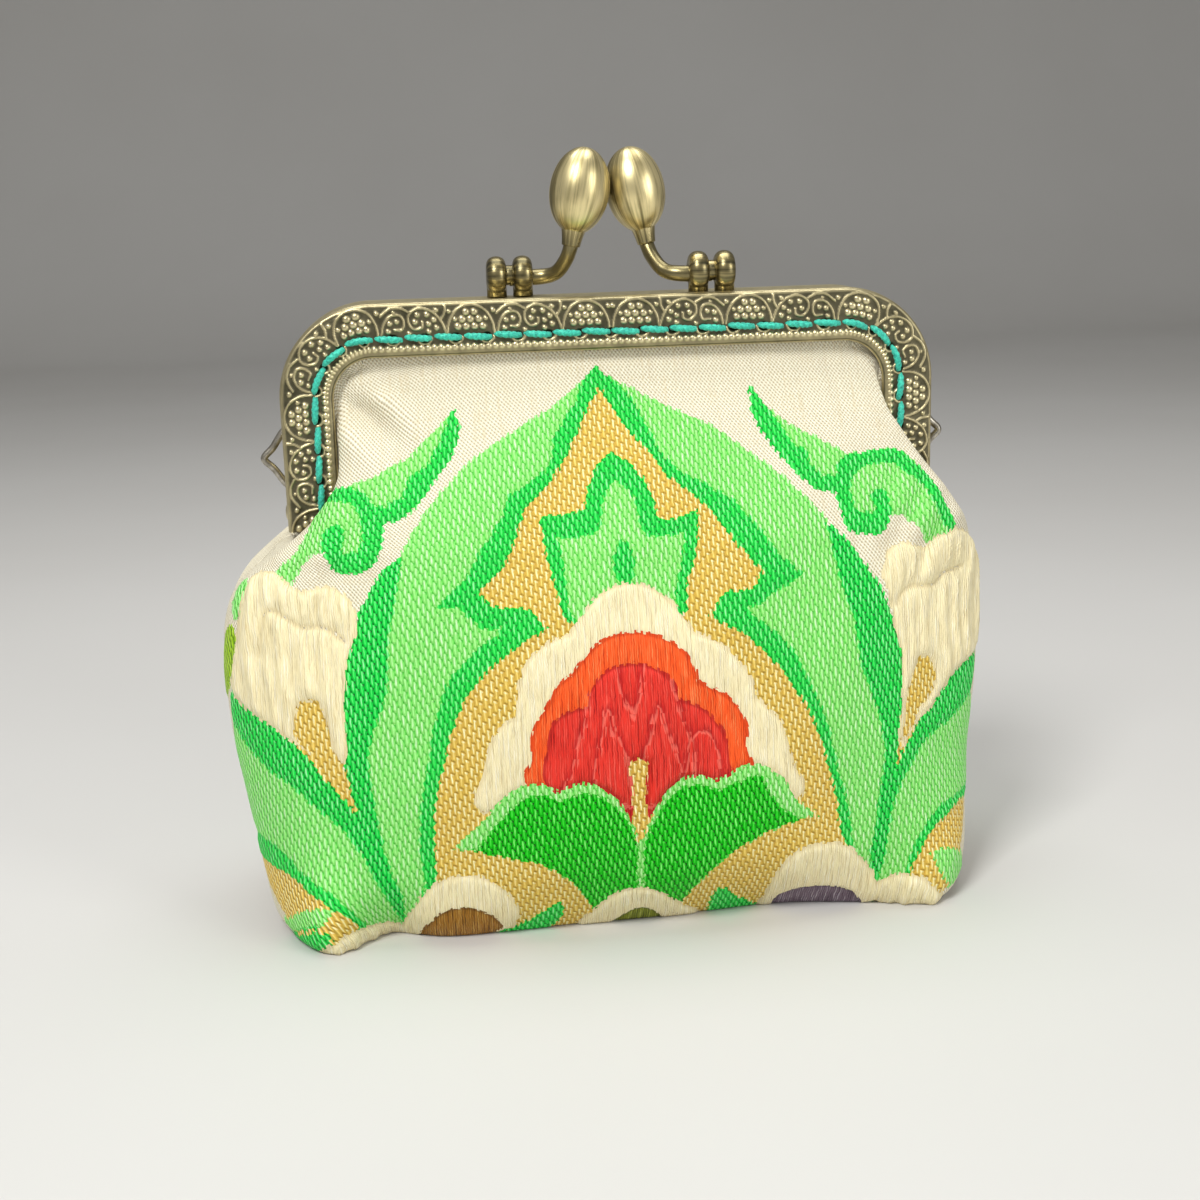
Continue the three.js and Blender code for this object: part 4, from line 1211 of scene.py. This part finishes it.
# The middle of a panel's wall as a grid of points facing the front, from the channel down to the base.
# Beside the side seams it dips in, as sewing pulls it.
def panelGrid(dentRows, swapped):
    halves = [halfSections(0), halfSections(1)]
    leftHalf, rightHalf = halves[::-1] if swapped else halves
    mirrored = leftHalf[:, :0:-1] * [-1, 1]
    flat = np.concatenate([mirrored, rightHalf], 1)
    z = np.broadcast_to(sections[:, 0][:, None], flat.shape[:2])
    control = np.stack([flat[..., 0], -flat[..., 1], z], -1)
    steps = np.linalg.norm(np.diff(control, axis=0), axis=-1).mean(axis=1)
    baseAt = steps[:cloth["bodySections"]].sum() / steps.sum()
    stations = np.concatenate([
        np.linspace(0, baseAt, cloth["bodyRows"] + 1),
        np.linspace(baseAt, 1, cloth["baseRows"] + 1)[1:],
    ])
    grid = smoothRows(control, stations)
    x, y, height = grid[..., 0], -grid[..., 1], grid[..., 2]
    fromMiddle = np.abs(np.arange(grid.shape[1]) - grid.shape[1] // 2)
    atSide = np.clip((fromMiddle - cloth["bulgeColumns"]) / cloth["stripColumns"], 0, 1) ** 2
    grid[..., 0] -= np.sign(x) * cloth["seamDip"] * bell(y, cloth["seamReach"]) * atSide
    fade = np.clip((y - cloth["slotY"]) / cloth["dentReach"], 0, 1)
    dent = sum(deep * bell(x - a, rx) * bell(height - b, rz) for a, b, rx, rz, deep in dentRows)
    grid[..., 1] += fade * dent
    free = y - cloth["slotY"] - looseness["from"]
    aboveBase = np.clip((height - looseness["base"]) / looseness["baseReach"], 0, 1)
    loose = np.clip(free / looseness["reach"], 0, 1) * aboveBase
    grid[..., 1] -= loose * smallFolds(x, height)
    if not swapped:
        grid[..., 1] -= np.clip(free / looseness["pocketReach"], 0, 1) * cornerPocket(x, height)
    return grid


# Outward directions of a grid: the cross product of its two neighbour steps
def gridNormals(grid):
    down, across = np.gradient(grid, axis=0), np.gradient(grid, axis=1)
    return unit(np.cross(down, across))


# Chart of a panel: millimetres walked across from its middle, and up from the widest section
def chartOf(grid):
    middle = grid.shape[1] // 2
    stepAcross = np.linalg.norm(np.diff(grid, axis=1), axis=-1)
    walkedAcross = np.concatenate([np.zeros((len(grid), 1)), np.cumsum(stepAcross, axis=1)], 1)
    u = walkedAcross - walkedAcross[:, middle][:, None]
    stepDown = np.linalg.norm(np.diff(grid, axis=0), axis=-1)
    walkedDown = np.concatenate([np.zeros((1, grid.shape[1])), np.cumsum(stepDown, axis=0)], 0)
    widest = np.argmin(np.abs(grid[:, middle, 2] - cloth["fullestZ"]))
    v = walkedDown[widest][None] - walkedDown
    return np.stack([u, v], -1)


# Woven figures, drawn from the front in points of a picture 1200 wide. A point given twice is a corner.
# They are laid over each other in their order, with the side figures before those of the middle arch.
ogeeOuter = [
    (596, 372), (596, 372), (583, 387), (578, 403), (564, 426), (556, 438), (555, 453), (548, 473),
    (530, 486), (510, 500), (505, 517), (494, 537), (484, 551), (473, 573), (461, 587), (443, 605),
    (443, 605), (461, 608), (478, 621), (485, 628), (506, 624), (506, 624), (501, 638), (481, 649),
    (467, 666), (450, 686), (442, 711), (436, 733), (433, 761), (428, 781), (424, 815), (424, 846),
    (428, 882), (436, 930), (640, 940), (850, 900), (848, 843), (847, 823), (841, 795), (833, 767),
    (827, 739), (819, 711), (807, 686), (796, 663), (785, 646), (771, 632), (748, 615), (743, 607),
    (743, 607), (760, 600), (768, 592), (782, 584), (796, 575), (796, 575), (788, 566), (774, 554),
    (760, 537), (746, 520), (732, 504), (721, 498), (703, 488), (673, 471), (655, 451), (646, 434),
    (635, 412), (618, 390),
]
ogeeInner = [
    (599, 395), (599, 395), (588, 416), (578, 440), (565, 465), (548, 490), (527, 512), (524, 522),
    (516, 546), (503, 572), (484, 593), (484, 593), (494, 604), (512, 606), (529, 608), (540, 617),
    (553, 629), (553, 629), (529, 643), (501, 663), (473, 694), (457, 728), (449, 761), (442, 789),
    (438, 823), (439, 857), (441, 880), (448, 930), (640, 940), (838, 900), (836, 829), (833, 803),
    (827, 778), (819, 750), (810, 722), (799, 700), (785, 680), (771, 663), (748, 641), (726, 628),
    (704, 618), (704, 618), (715, 601), (726, 590), (748, 586), (757, 572), (757, 572), (746, 559),
    (732, 545), (720, 528), (706, 513), (692, 500), (668, 482), (653, 464), (637, 447), (626, 434),
    (613, 416),
]
greenField = [
    (596, 372), (596, 372), (583, 385), (552, 411), (516, 434), (481, 458), (455, 482), (433, 508),
    (415, 535), (400, 562), (380, 592), (366, 612), (358, 640), (352, 672), (350, 730), (356, 800),
    (372, 860), (396, 915), (420, 935), (640, 945), (850, 905), (872, 876), (878, 850), (884, 800),
    (890, 755), (892, 700), (890, 640), (868, 590), (846, 552), (827, 528), (820, 517), (794, 491),
    (767, 469), (736, 447), (710, 429), (675, 414), (635, 394), (609, 381),
]
figures = [
    ("lightGreen", greenField),
    ("stemGreen", [
        (400, 562), (400, 562), (388, 570), (377, 587), (363, 613), (355, 641), (348, 671),
        (345, 700), (343, 730), (345, 753), (349, 781), (356, 806), (380, 860), (405, 915),
        (405, 915), (400, 893), (391, 874), (383, 851), (377, 823), (373, 801), (367, 767),
        (370, 739), (377, 716), (384, 694), (386, 666), (386, 638), (391, 615), (394, 593),
    ]),
    ("stemGreen", [
        (828, 528), (828, 528), (844, 542), (858, 561), (873, 582), (885, 608), (895, 638),
        (900, 671), (899, 702), (897, 733), (893, 760), (884, 815), (874, 876), (874, 876),
        (871, 852), (876, 823), (880, 789), (885, 753), (880, 719), (872, 694), (862, 666),
        (857, 638), (852, 610), (841, 582), (835, 556),
    ]),
    ("brightGreen", ogeeOuter),
    ("gold", ogeeInner),
    ("brightGreen", [
        (610, 452), (610, 452), (593, 468), (585, 490), (581, 508), (562, 513), (536, 516),
        (536, 516), (541, 545), (548, 574), (556, 600), (566, 625), (629, 640), (684, 620),
        (690, 585), (697, 560), (700, 532), (700, 508), (700, 508), (680, 514), (661, 518),
        (655, 497), (641, 473), (626, 460),
    ]),
    ("lightGreen", [
        (614, 479), (614, 479), (602, 497), (598, 522), (592, 533), (572, 537), (551, 537),
        (551, 537), (560, 560), (564, 590), (572, 622), (629, 640), (676, 620), (678, 590),
        (684, 560), (687, 530), (687, 530), (668, 534), (648, 534), (641, 520), (636, 498),
        (626, 486),
    ]),
    ("brightGreen", [
        (622, 545), (629, 552), (631, 566), (628, 582), (621, 583), (616, 572), (616, 556),
    ]),
    ("cream", [
        (629, 585), (606, 592), (588, 609), (570, 636), (570, 636), (549, 644), (529, 662),
        (520, 690), (516, 718), (516, 718), (502, 728), (494, 741), (486, 772), (488, 812),
        (640, 840), (790, 800), (789, 759), (779, 723), (766, 708), (754, 698), (754, 698),
        (750, 680), (738, 662), (718, 644), (693, 634), (693, 634), (674, 608), (652, 591),
    ]),
    ("orange", [
        (631, 634), (606, 640), (588, 655), (573, 675), (573, 675), (558, 687), (550, 703),
        (538, 722), (533, 739), (532, 760), (534, 790), (640, 830), (744, 790), (744, 745),
        (744, 728), (736, 708), (723, 695), (695, 682), (695, 682), (690, 662), (672, 644),
        (650, 636),
    ]),
    ("red", [
        (631, 665), (610, 670), (598, 680), (590, 693), (588, 708), (588, 708), (570, 712),
        (555, 723), (550, 744), (552, 790), (640, 835), (726, 790), (727, 760), (724, 739),
        (715, 723), (700, 708), (676, 700), (676, 700), (672, 685), (662, 674), (647, 667),
    ]),
    ("gold", [(628, 760), (648, 760), (648, 790), (649, 840), (630, 840), (630, 800)]),
    ("lightGreen", [
        (640, 835), (640, 835), (632, 815), (619, 797), (606, 787), (593, 782), (578, 780),
        (558, 788), (558, 788), (546, 782), (534, 781), (520, 784), (509, 790), (488, 810),
        (472, 826), (449, 848), (449, 848), (491, 856), (542, 866), (573, 884), (590, 907),
        (598, 920), (640, 912), (682, 899), (682, 899), (700, 880), (721, 861), (745, 844),
        (772, 830), (800, 820), (823, 815), (823, 815), (810, 805), (797, 795), (785, 778),
        (772, 767), (760, 762), (746, 761), (730, 770), (715, 777), (715, 777), (700, 773),
        (685, 774), (671, 783), (659, 797), (648, 815),
    ]),
    ("leafGreen", [
        (634, 846), (626, 824), (613, 808), (596, 797), (578, 796), (560, 804), (560, 804),
        (544, 797), (524, 800), (508, 815), (494, 832), (478, 850), (478, 850), (515, 856),
        (548, 864), (578, 882), (594, 906), (600, 918), (632, 902), (634, 870),
    ]),
    ("leafGreen", [
        (646, 846), (654, 824), (668, 802), (684, 788), (702, 787), (717, 792), (717, 792),
        (736, 784), (758, 777), (764, 790), (780, 810), (797, 818), (797, 818), (770, 826),
        (742, 842), (718, 858), (696, 878), (680, 898), (648, 902), (647, 870),
    ]),
    ("cream", [
        (405, 935), (405, 921), (416, 904), (433, 885), (458, 875), (481, 876), (503, 888),
        (517, 907), (515, 916), (505, 935), (450, 945),
    ]),
    ("bronze", [
        (426, 935), (430, 922), (445, 910), (467, 906), (490, 912), (498, 922), (486, 940),
        (450, 945),
    ]),
    ("brightGreen", [
        (490, 932), (517, 919), (543, 904), (565, 893), (565, 893), (563, 913), (550, 930),
        (515, 940),
    ]),
    ("cream", [
        (583, 930), (597, 904), (616, 890), (636, 885), (658, 888), (678, 899), (694, 915),
        (640, 940),
    ]),
    ("olive", [(612, 925), (622, 911), (636, 904), (650, 905), (658, 915), (640, 930)]),
    ("brightGreen", [
        (700, 912), (707, 893), (714, 884), (724, 882), (738, 890), (760, 899), (740, 915),
    ]),
    ("cream", [
        (758, 905), (764, 892), (774, 874), (793, 852), (818, 843), (841, 843), (860, 857),
        (872, 874), (876, 895), (820, 915),
    ]),
    ("plum", [(772, 905), (776, 892), (793, 885), (821, 882), (849, 887), (856, 898), (820, 912)]),
]
sideFigures = [
    ("cream", [
        (251, 587), (262, 575), (276, 575), (288, 585), (304, 594), (304, 594), (322, 588),
        (341, 593), (355, 610), (357, 630), (350, 652), (346, 671), (344, 700), (344, 760),
        (300, 742), (273, 722), (242, 700), (234, 669), (240, 643), (244, 615),
    ]),
    ("gold", [
        (300, 702), (318, 699), (328, 711), (333, 733), (343, 767), (354, 806), (354, 806),
        (340, 789), (318, 762), (299, 742), (295, 722),
    ]),
    ("stemGreen", [
        (236, 692), (256, 711), (276, 725), (299, 742), (318, 761), (338, 787), (354, 804),
        (366, 822), (388, 868), (405, 915), (405, 915), (386, 890), (372, 865), (357, 840),
        (341, 823), (318, 803), (293, 781), (270, 764), (256, 747), (238, 722),
    ]),
    ("lightGreen", [
        (238, 724), (256, 748), (270, 765), (293, 782), (318, 804), (341, 824), (357, 841),
        (372, 866), (386, 891), (402, 918), (380, 925), (358, 921), (346, 910), (327, 893),
        (304, 874), (285, 851), (264, 834), (250, 790),
    ]),
    ("brightGreen", [
        (262, 832), (285, 851), (304, 874), (327, 893), (346, 910), (362, 924), (352, 928),
        (332, 910), (312, 894), (290, 874), (266, 852),
    ]),
    ("gold", [
        (266, 853), (290, 874), (312, 895), (332, 911), (353, 928), (327, 952), (290, 913),
        (274, 882),
    ]),
    ("lightGreen", [(289, 918), (304, 908), (333, 907), (328, 928), (300, 930)]),
    ("brightGreen", [(292, 929), (328, 929), (318, 955), (300, 948)]),
    ("cream", [(322, 955), (340, 938), (362, 926), (405, 921), (405, 935), (370, 950)]),
    ("cream", [
        (882, 576), (888, 552), (897, 545), (908, 544), (921, 550), (921, 550), (934, 537),
        (953, 528), (968, 542), (973, 576), (972, 632), (970, 648), (953, 666), (930, 700),
        (900, 745), (899, 700), (900, 655), (894, 627), (889, 599),
    ]),
    ("gold", [
        (914, 658), (924, 655), (932, 666), (931, 686), (917, 711), (906, 733), (897, 757),
        (897, 757), (900, 716), (904, 688),
    ]),
    ("stemGreen", [
        (970, 652), (948, 677), (931, 700), (914, 719), (900, 745), (893, 762), (884, 815),
        (874, 878), (874, 878), (881, 851), (886, 817), (894, 787), (908, 758), (925, 733),
        (945, 716), (966, 690),
    ]),
    ("lightGreen", [
        (966, 692), (945, 717), (925, 734), (908, 759), (894, 788), (886, 818), (881, 852),
        (876, 878), (908, 876), (911, 857), (922, 829), (939, 806), (962, 782), (965, 740),
    ]),
    ("brightGreen", [
        (961, 783), (939, 806), (922, 829), (911, 857), (908, 876), (914, 874), (920, 852),
        (935, 825), (959, 797),
    ]),
    ("gold", [(959, 798), (935, 826), (920, 853), (914, 875), (939, 888), (956, 846)]),
    ("lightGreen", [(928, 848), (953, 846), (957, 865), (944, 884), (931, 862)]),
    ("cream", [(876, 884), (892, 874), (914, 875), (931, 885), (940, 896), (905, 904), (876, 902)]),
    # Scroll leaves
    ("lightGreen", [
        (453, 416), (453, 416), (441, 430), (411, 460), (381, 477), (366, 484), (347, 491),
        (330, 500), (326, 508), (318, 520), (313, 531), (306, 545), (297, 558), (283, 569),
        (283, 578), (290, 584), (296, 578), (302, 567), (313, 555), (328, 553), (340, 560),
        (366, 552), (378, 530), (384, 522), (411, 512), (433, 482), (448, 460), (457, 433),
    ]),
    ("brightGreen", [
        (453, 416), (453, 416), (457, 433), (448, 460), (433, 482), (420, 501), (409, 513),
        (398, 520), (384, 523), (381, 530), (374, 520), (377, 512), (390, 511), (392, 505),
        (403, 503), (408, 494), (414, 480), (430, 468), (442, 445),
    ]),
    ("brightGreen", [
        (330, 500), (338, 493), (350, 491), (358, 496), (366, 499), (369, 507), (377, 512),
        (381, 527), (381, 535), (379, 551), (373, 562), (366, 570), (346, 573), (336, 568),
        (329, 558), (327, 546), (328, 536), (334, 529), (341, 531), (342, 541), (339, 548),
        (343, 556), (360, 555), (365, 548), (366, 536), (365, 523), (361, 513), (355, 505),
        (346, 502), (337, 501),
    ]),
    ("lightGreen", [
        (752, 394), (752, 394), (767, 412), (794, 431), (820, 443), (843, 455), (858, 455),
        (875, 453), (897, 453), (918, 471), (939, 500), (951, 526), (936, 536), (924, 539),
        (921, 527), (909, 520), (904, 514), (887, 514), (878, 528), (858, 528), (846, 518),
        (838, 495), (832, 490), (811, 482), (789, 464), (767, 438), (754, 416),
    ]),
    ("brightGreen", [
        (752, 394), (752, 394), (754, 416), (767, 438), (789, 464), (804, 479), (815, 488),
        (834, 490), (838, 482), (832, 478), (819, 481), (814, 474), (806, 465), (802, 453),
        (790, 447), (776, 425),
    ]),
    ("brightGreen", [
        (838, 470), (843, 459), (858, 456), (875, 453), (897, 453), (906, 461), (918, 471),
        (929, 483), (939, 500), (950, 523), (949, 529), (941, 518), (933, 500), (922, 484),
        (906, 472), (894, 464), (882, 461), (870, 464), (858, 468), (849, 478), (846, 487),
        (849, 503), (854, 514), (874, 516), (876, 508), (872, 500), (875, 493), (883, 494),
        (886, 503), (887, 514), (883, 526), (877, 532), (855, 532), (847, 526), (842, 512),
        (837, 498), (836, 488),
    ]),
    ("lightGreen", [(237, 606), (243, 588), (250, 583), (247, 600), (240, 618)]),
    ("lime", [(229, 640), (236, 628), (238, 648), (235, 676), (230, 690)]),
]
# Flame tongues within the red petals, and lines between petals where the ground shows
flameTongues = {
    "backTongue": [
        [
            (577, 800), (579, 760), (583, 740), (589, 714), (590, 684), (592, 652), (592, 652),
            (612, 652), (612, 652), (617, 688), (622, 702), (628, 714), (632, 726), (632, 726),
            (636, 716), (640, 698), (645, 680), (648, 652), (648, 652), (666, 652), (666, 652),
            (668, 686), (673, 700), (678, 718), (688, 742), (692, 800), (692, 800),
        ],
    ],
    "frontTongue": [
        [
            (597, 800), (600, 756), (604, 736), (607, 715), (607, 715), (610, 732), (611, 750),
            (611, 750), (612, 744), (615, 734), (615, 734), (619, 745), (624, 760), (629, 800),
            (629, 800),
        ],
        [
            (643, 800), (646, 756), (650, 740), (653, 726), (657, 711), (657, 711), (662, 728),
            (669, 744), (675, 760), (681, 800), (681, 800),
        ],
        [
            (683, 800), (687, 758), (690, 745), (696, 735), (702, 732), (709, 740), (714, 754),
            (717, 774), (718, 800),
        ],
    ],
}
petalLines = [
    [
        (262, 655), (264, 630), (268, 612), (276, 611), (287, 617), (304, 627), (321, 627),
        (335, 632), (346, 641),
    ],
    [(894, 603), (898, 594), (906, 587), (918, 585), (930, 583), (938, 573), (946, 570), (957, 565)],
]
middleFrom = 3  # the figures before this one lie under the side figures
fieldLimit = 3.0  # millimetres within which a distance field is worked out
raising = {
    "from": 0.4,
    "reach": 0.9,
    "petalLine": 0.24,
    "tongue": 0.2,
    "tongueFrom": 0.5,
    "tongueReach": 0.7,
    "tongueInside": 0.6,
    "wrinkle": 0.42,
    "wrinkleTurn": 2.4,
    "wrinkleFrom": 32.0,
    "wrinkleFade": 4.0,
    "wrinkleClear": 0.5,
    "wrinkleReach": 1.2,
}


# Chart place of picture points: the nearest front-facing grid point of the bulge, moved on by the grid's
# own steps there (a two by two solve)
def pictureToChart(points, grid, chart, view):
    stride, furthest = 3, 3  # of the grid points looked at, and of the steps moved on
    picture = toPicture(grid, view)
    place = cameraAxes(view)[3]
    facing = ((place - grid) * gridNormals(grid)).sum(-1) > 0
    rows, columns = grid.shape[:2]
    facing[:, :cloth["stripColumns"]] = False
    facing[:, columns - cloth["stripColumns"]:] = False
    r, c = np.nonzero(facing)
    seen = picture[r, c]
    p = np.asarray(points, dtype=float)
    nearest = ((p[:, None, :] - seen[None, ::stride]) ** 2).sum(-1).argmin(axis=1)
    i = np.clip(r[::stride][nearest], 1, rows - 2)
    j = np.clip(c[::stride][nearest], 1, columns - 2)
    down = (picture[i + 1, j] - picture[i - 1, j]) / 2
    across = (picture[i, j + 1] - picture[i, j - 1]) / 2
    off = p - picture[i, j]
    cross = across[:, 0] * down[:, 1] - across[:, 1] * down[:, 0]
    cross = np.where(np.abs(cross) < 1e-6, 1e-6, cross)
    toC = (off[:, 0] * down[:, 1] - off[:, 1] * down[:, 0]) / cross
    toR = (across[:, 0] * off[:, 1] - across[:, 1] * off[:, 0]) / cross
    toC, toR = (np.clip(steps, -furthest, furthest)[:, None] for steps in (toC, toR))
    chartDown = (chart[i + 1, j] - chart[i - 1, j]) / 2
    chartAcross = (chart[i, j + 1] - chart[i, j - 1]) / 2
    return chart[i, j] + toC * chartAcross + toR * chartDown


# Numbers of the places within the limit of the box round a line
def placesNear(places, line):
    low, high = line.min(0) - fieldLimit, line.max(0) + fieldLimit
    return np.nonzero(((places > low) & (places < high)).all(axis=1))[0]


# Signed distance to a closed outline: the least distance to its straight pieces, below zero where a ray
# to the right crosses the outline an odd number of times. Places far away keep the limit.
def outlineDistance(places, outline):
    near = placesNear(places, outline)
    distance = np.full(len(places), fieldLimit)
    start, step = outline, np.roll(outline, -1, 0) - outline
    length = np.maximum((step**2).sum(-1), 1e-12)
    for block in np.array_split(near, max(1, len(near) // 4000)):
        q = places[block][:, None, :] - start[None]
        t = np.clip((q * step[None]).sum(-1) / length[None], 0, 1)
        gap = np.sqrt(((q - t[..., None] * step[None]) ** 2).sum(-1).min(axis=1))
        above = q[..., 1] >= 0
        endAbove = q[..., 1] >= step[None, :, 1]
        crossing = above != endAbove
        rise = np.where(np.abs(step[:, 1]) < 1e-12, 1e-12, step[:, 1])
        crossX = q[..., 1] / rise[None] * step[None, :, 0]
        odd = (crossing & (q[..., 0] < crossX)).sum(axis=1) % 2 == 1
        distance[block] = np.clip(np.where(odd, -gap, gap), -fieldLimit, fieldLimit)
    return distance


# Distance field of every finish: a figure laid later takes its place from all others
def figureFields(places, outlines):
    fields = {row[0]: np.full(len(places), fieldLimit) for row in brocadeFinishes}
    for name, outline in outlines:
        own = outlineDistance(places, outline)
        for other in fields:
            if other != name:
                fields[other] = np.maximum(fields[other], -own)
        fields[name] = np.minimum(fields[name], own)
    return fields


# Distance to the nearest of several open lines, kept below the limit
def lineDistance(places, lines):
    distance = np.full(len(places), fieldLimit)
    for line in lines:
        near = placesNear(places, line)
        if len(near):
            distance[near] = np.minimum(distance[near], distanceTo(places[near], line))
    return distance


# A panel as a closed shell: a fine outer face that carries the figures, a coarse inner face, and a rim
# of triangles that joins every inner edge to the outer edges beside it
def panelShell(grid, lift):
    step = cloth["innerStep"]
    normals = gridNormals(grid)
    half = cloth["wall"] / 2
    outer = grid + normals * (half + lift)[..., None]
    inner = (grid - normals * half)[::step, ::step]
    rows, columns = grid.shape[:2]
    innerRows, innerColumns = inner.shape[:2]
    start = rows * columns
    outerIndex = np.arange(start).reshape(rows, columns)
    innerIndex = start + np.arange(innerRows * innerColumns).reshape(innerRows, innerColumns)
    quads = gridQuads(rows, columns)
    innerQuads = gridQuads(innerRows, innerColumns)[:, ::-1] + start

    def border(index):
        return np.concatenate([index[0, :-1], index[:-1, -1], index[-1, :0:-1], index[:0:-1, 0]])

    outerRing, innerRing = border(outerIndex), border(innerIndex)
    coarse = np.repeat(innerRing, step)
    strip = np.stack([outerRing, np.roll(outerRing, -1), coarse], -1)
    ends = np.roll(outerRing, -step)[::step]
    fill = np.stack([innerRing, ends, np.roll(innerRing, -1)], -1)
    points = np.concatenate([outer.reshape(-1, 3), inner.reshape(-1, 3)])
    return points, [quads, innerQuads, strip, fill]


# Wrinkles of the loose floats on the side petals: squared waves across, bent by slower waves, which fade
# out at the petals' edges and beside the lines on them
def petalWrinkles(places, cream, petals):
    w = raising
    u, v = places[:, 0], places[:, 1]
    bent = 1.2 * np.sin(0.33 * v) + 1.1 * np.sin(0.83 * u + 0.1 * v)
    ridge = 0.5 + 0.5 * np.sin(w["wrinkleTurn"] * u + bent)
    atSide = np.clip((np.abs(u) - w["wrinkleFrom"]) / w["wrinkleFade"], 0, 1)
    inside = np.clip(-cream / w["wrinkleReach"], 0, 1)
    clear = np.clip((petals - w["wrinkleClear"]) / w["wrinkleReach"], 0, 1)
    return w["wrinkle"] * ridge**2 * atSide * inside * clear


# A cloth panel: its wall with every figure raised by a smooth step across its edge, and the distance
# fields at its points for the brocade to read
def addPanel(name, grid, chart, drawing, facing):
    places = chart.reshape(-1, 2)
    fields = figureFields(places, drawing["figures"])
    petals = lineDistance(places, drawing["petals"])
    fields["cream"] = np.maximum(fields["cream"], raising["petalLine"] - petals)
    tongues = {
        layer: np.min([outlineDistance(places, outline) for outline in outlines], axis=0)
        for layer, outlines in drawing["tongues"].items()
    }
    lift = np.zeros(len(places))
    for finish, *_, raised in brocadeFinishes:
        share = np.clip(raising["from"] - fields[finish] / raising["reach"], 0, 1)
        lift = np.maximum(lift, raised * share**2 * (3 - 2 * share))
    lift += petalWrinkles(places, fields["cream"], petals)
    inRed = np.clip(-fields["red"] / raising["tongueInside"], 0, 1)
    for field in tongues.values():
        onTongue = np.clip(raising["tongueFrom"] - field / raising["tongueReach"], 0, 1)
        lift += raising["tongue"] * onTongue * inRed
    fields.update(tongues)
    points, faces = panelShell(grid, lift.reshape(grid.shape[:2]))
    points[:, 2] = np.maximum(points[:, 2], cloth["clearance"])  # stands on the floor, not in it
    coarse = (slice(None, None, cloth["innerStep"]),) * 2
    shape = grid.shape[:2]
    values = {}
    for finish, field in fields.items():
        inner = np.full(field.reshape(shape)[coarse].size, fieldLimit)
        values[finish] = np.concatenate([field, inner])
    flatChart = np.concatenate([places, chart[coarse].reshape(-1, 2)])
    values["chart"] = np.concatenate([flatChart, np.zeros((len(flatChart), 1))], 1)
    points = points * [-facing, -facing, 1]
    piece = makePiece(name + "_cloth", points, faces, brocade, values)
    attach(piece, "root")
    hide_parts(name)
    return piece


frontGrid = panelGrid(dents["front"], False)
frontChart = chartOf(frontGrid)


# The figures are drawn on the front's chart, and the back carries the same drawing
def onChart(points):
    return pictureToChart(points, frontGrid, frontChart, photoView)


drawing = {
    "figures": [
        (name, throughPoints(onChart(points), 6, closed=True))
        for name, points in [*figures[:middleFrom], *sideFigures, *figures[middleFrom:]]
    ],
    "tongues": {
        layer: [throughPoints(onChart(points), 6, closed=True) for points in outlines]
        for layer, outlines in flameTongues.items()
    },
    "petals": [throughPoints(onChart(points), 8) for points in petalLines],
}
print("figures laid on the chart")
front = addPanel("pouch_front", frontGrid, frontChart, drawing, -1)
backGrid = panelGrid(dents["back"], True)
back = addPanel("pouch_back", backGrid, chartOf(backGrid), drawing, 1)
print("cloth panels sewn in")


# Stage

studio = {
    "floor": (196, 194, 190),
    "floorLight": (206, 205, 202),
    "reach": 1600.0,
    "wallY": 900.0,
    "sweep": 300.0,
    "world": 0.3,
    "worldTint": (1.0, 0.99, 0.97, 1.0),
}
lamps = [
    # name, place, aim, size (m), power
    ("key", (-230, -360, 500), (0, 0, 45), (0.16, 0.2), 3.0),
    ("fill", (380, -380, 200), (0, 0, 45), (0.2, 0.34), 1.0),
    ("top", (0, 60, 520), (0, 0, 40), (0.4, 0.3), 1.4),
]


# Floor that sweeps up into a backdrop: a level strip, a quarter circle and a wall, carried across
def addStage():
    reach, radius, wallY = studio["reach"], studio["sweep"], studio["wallY"]
    turn = np.linspace(0, math.pi / 2, 24)
    y = np.concatenate([[-reach], wallY + radius * np.sin(turn), [wallY + radius]])
    z = np.concatenate([[0.0], radius * (1 - np.cos(turn)), [reach]])
    x = np.linspace(-reach, reach, 5)
    grid = np.stack(np.broadcast_arrays(x[None], y[:, None], z[:, None]), -1)
    f = Finish("pale_floor")
    place = f.add("ShaderNodeTexCoord", out="Object")
    cloud = f.noise(place, 6.0, 3.0)
    tone = f.mixColour(cloud, colour(*studio["floor"]), colour(*studio["floorLight"]))
    f.set(Base_Color=tone, Roughness=0.85)
    quads = gridQuads(len(y), len(x))[:, ::-1]
    floor = makePiece("floor", grid.reshape(-1, 3), [quads], f.material)


# An oblong soft light that looks along the way from its place to its aim
def addLight(name, place, aim, size, power):
    data = bpy.data.lights.new(name, "AREA")
    data.shape = "RECTANGLE"
    data.size, data.size_y = size
    data.energy = power
    lamp = bpy.data.objects.new(name, data)
    bpy.context.scene.collection.objects.link(lamp)
    back = unit(np.array(place, dtype=float) - np.array(aim, dtype=float))
    right = unit(np.cross([0.0, 0.0, 1.0], back))
    up = np.cross(back, right)
    turn = np.eye(4)
    turn[:3, 0], turn[:3, 1], turn[:3, 2], turn[:3, 3] = right, up, back, np.array(place) * mm
    lamp.matrix_world = Matrix(turn.tolist())


addStage()
for lamp in lamps:
    addLight(*lamp)
world = bpy.data.worlds.new("soft_room")
world.use_nodes = True
sky = world.node_tree.nodes["Background"]
sky.inputs[0].default_value = studio["worldTint"]
sky.inputs[1].default_value = studio["world"]
bpy.context.scene.world = world
bpy.context.scene.view_settings.view_transform = "Standard"
print("stage lit")
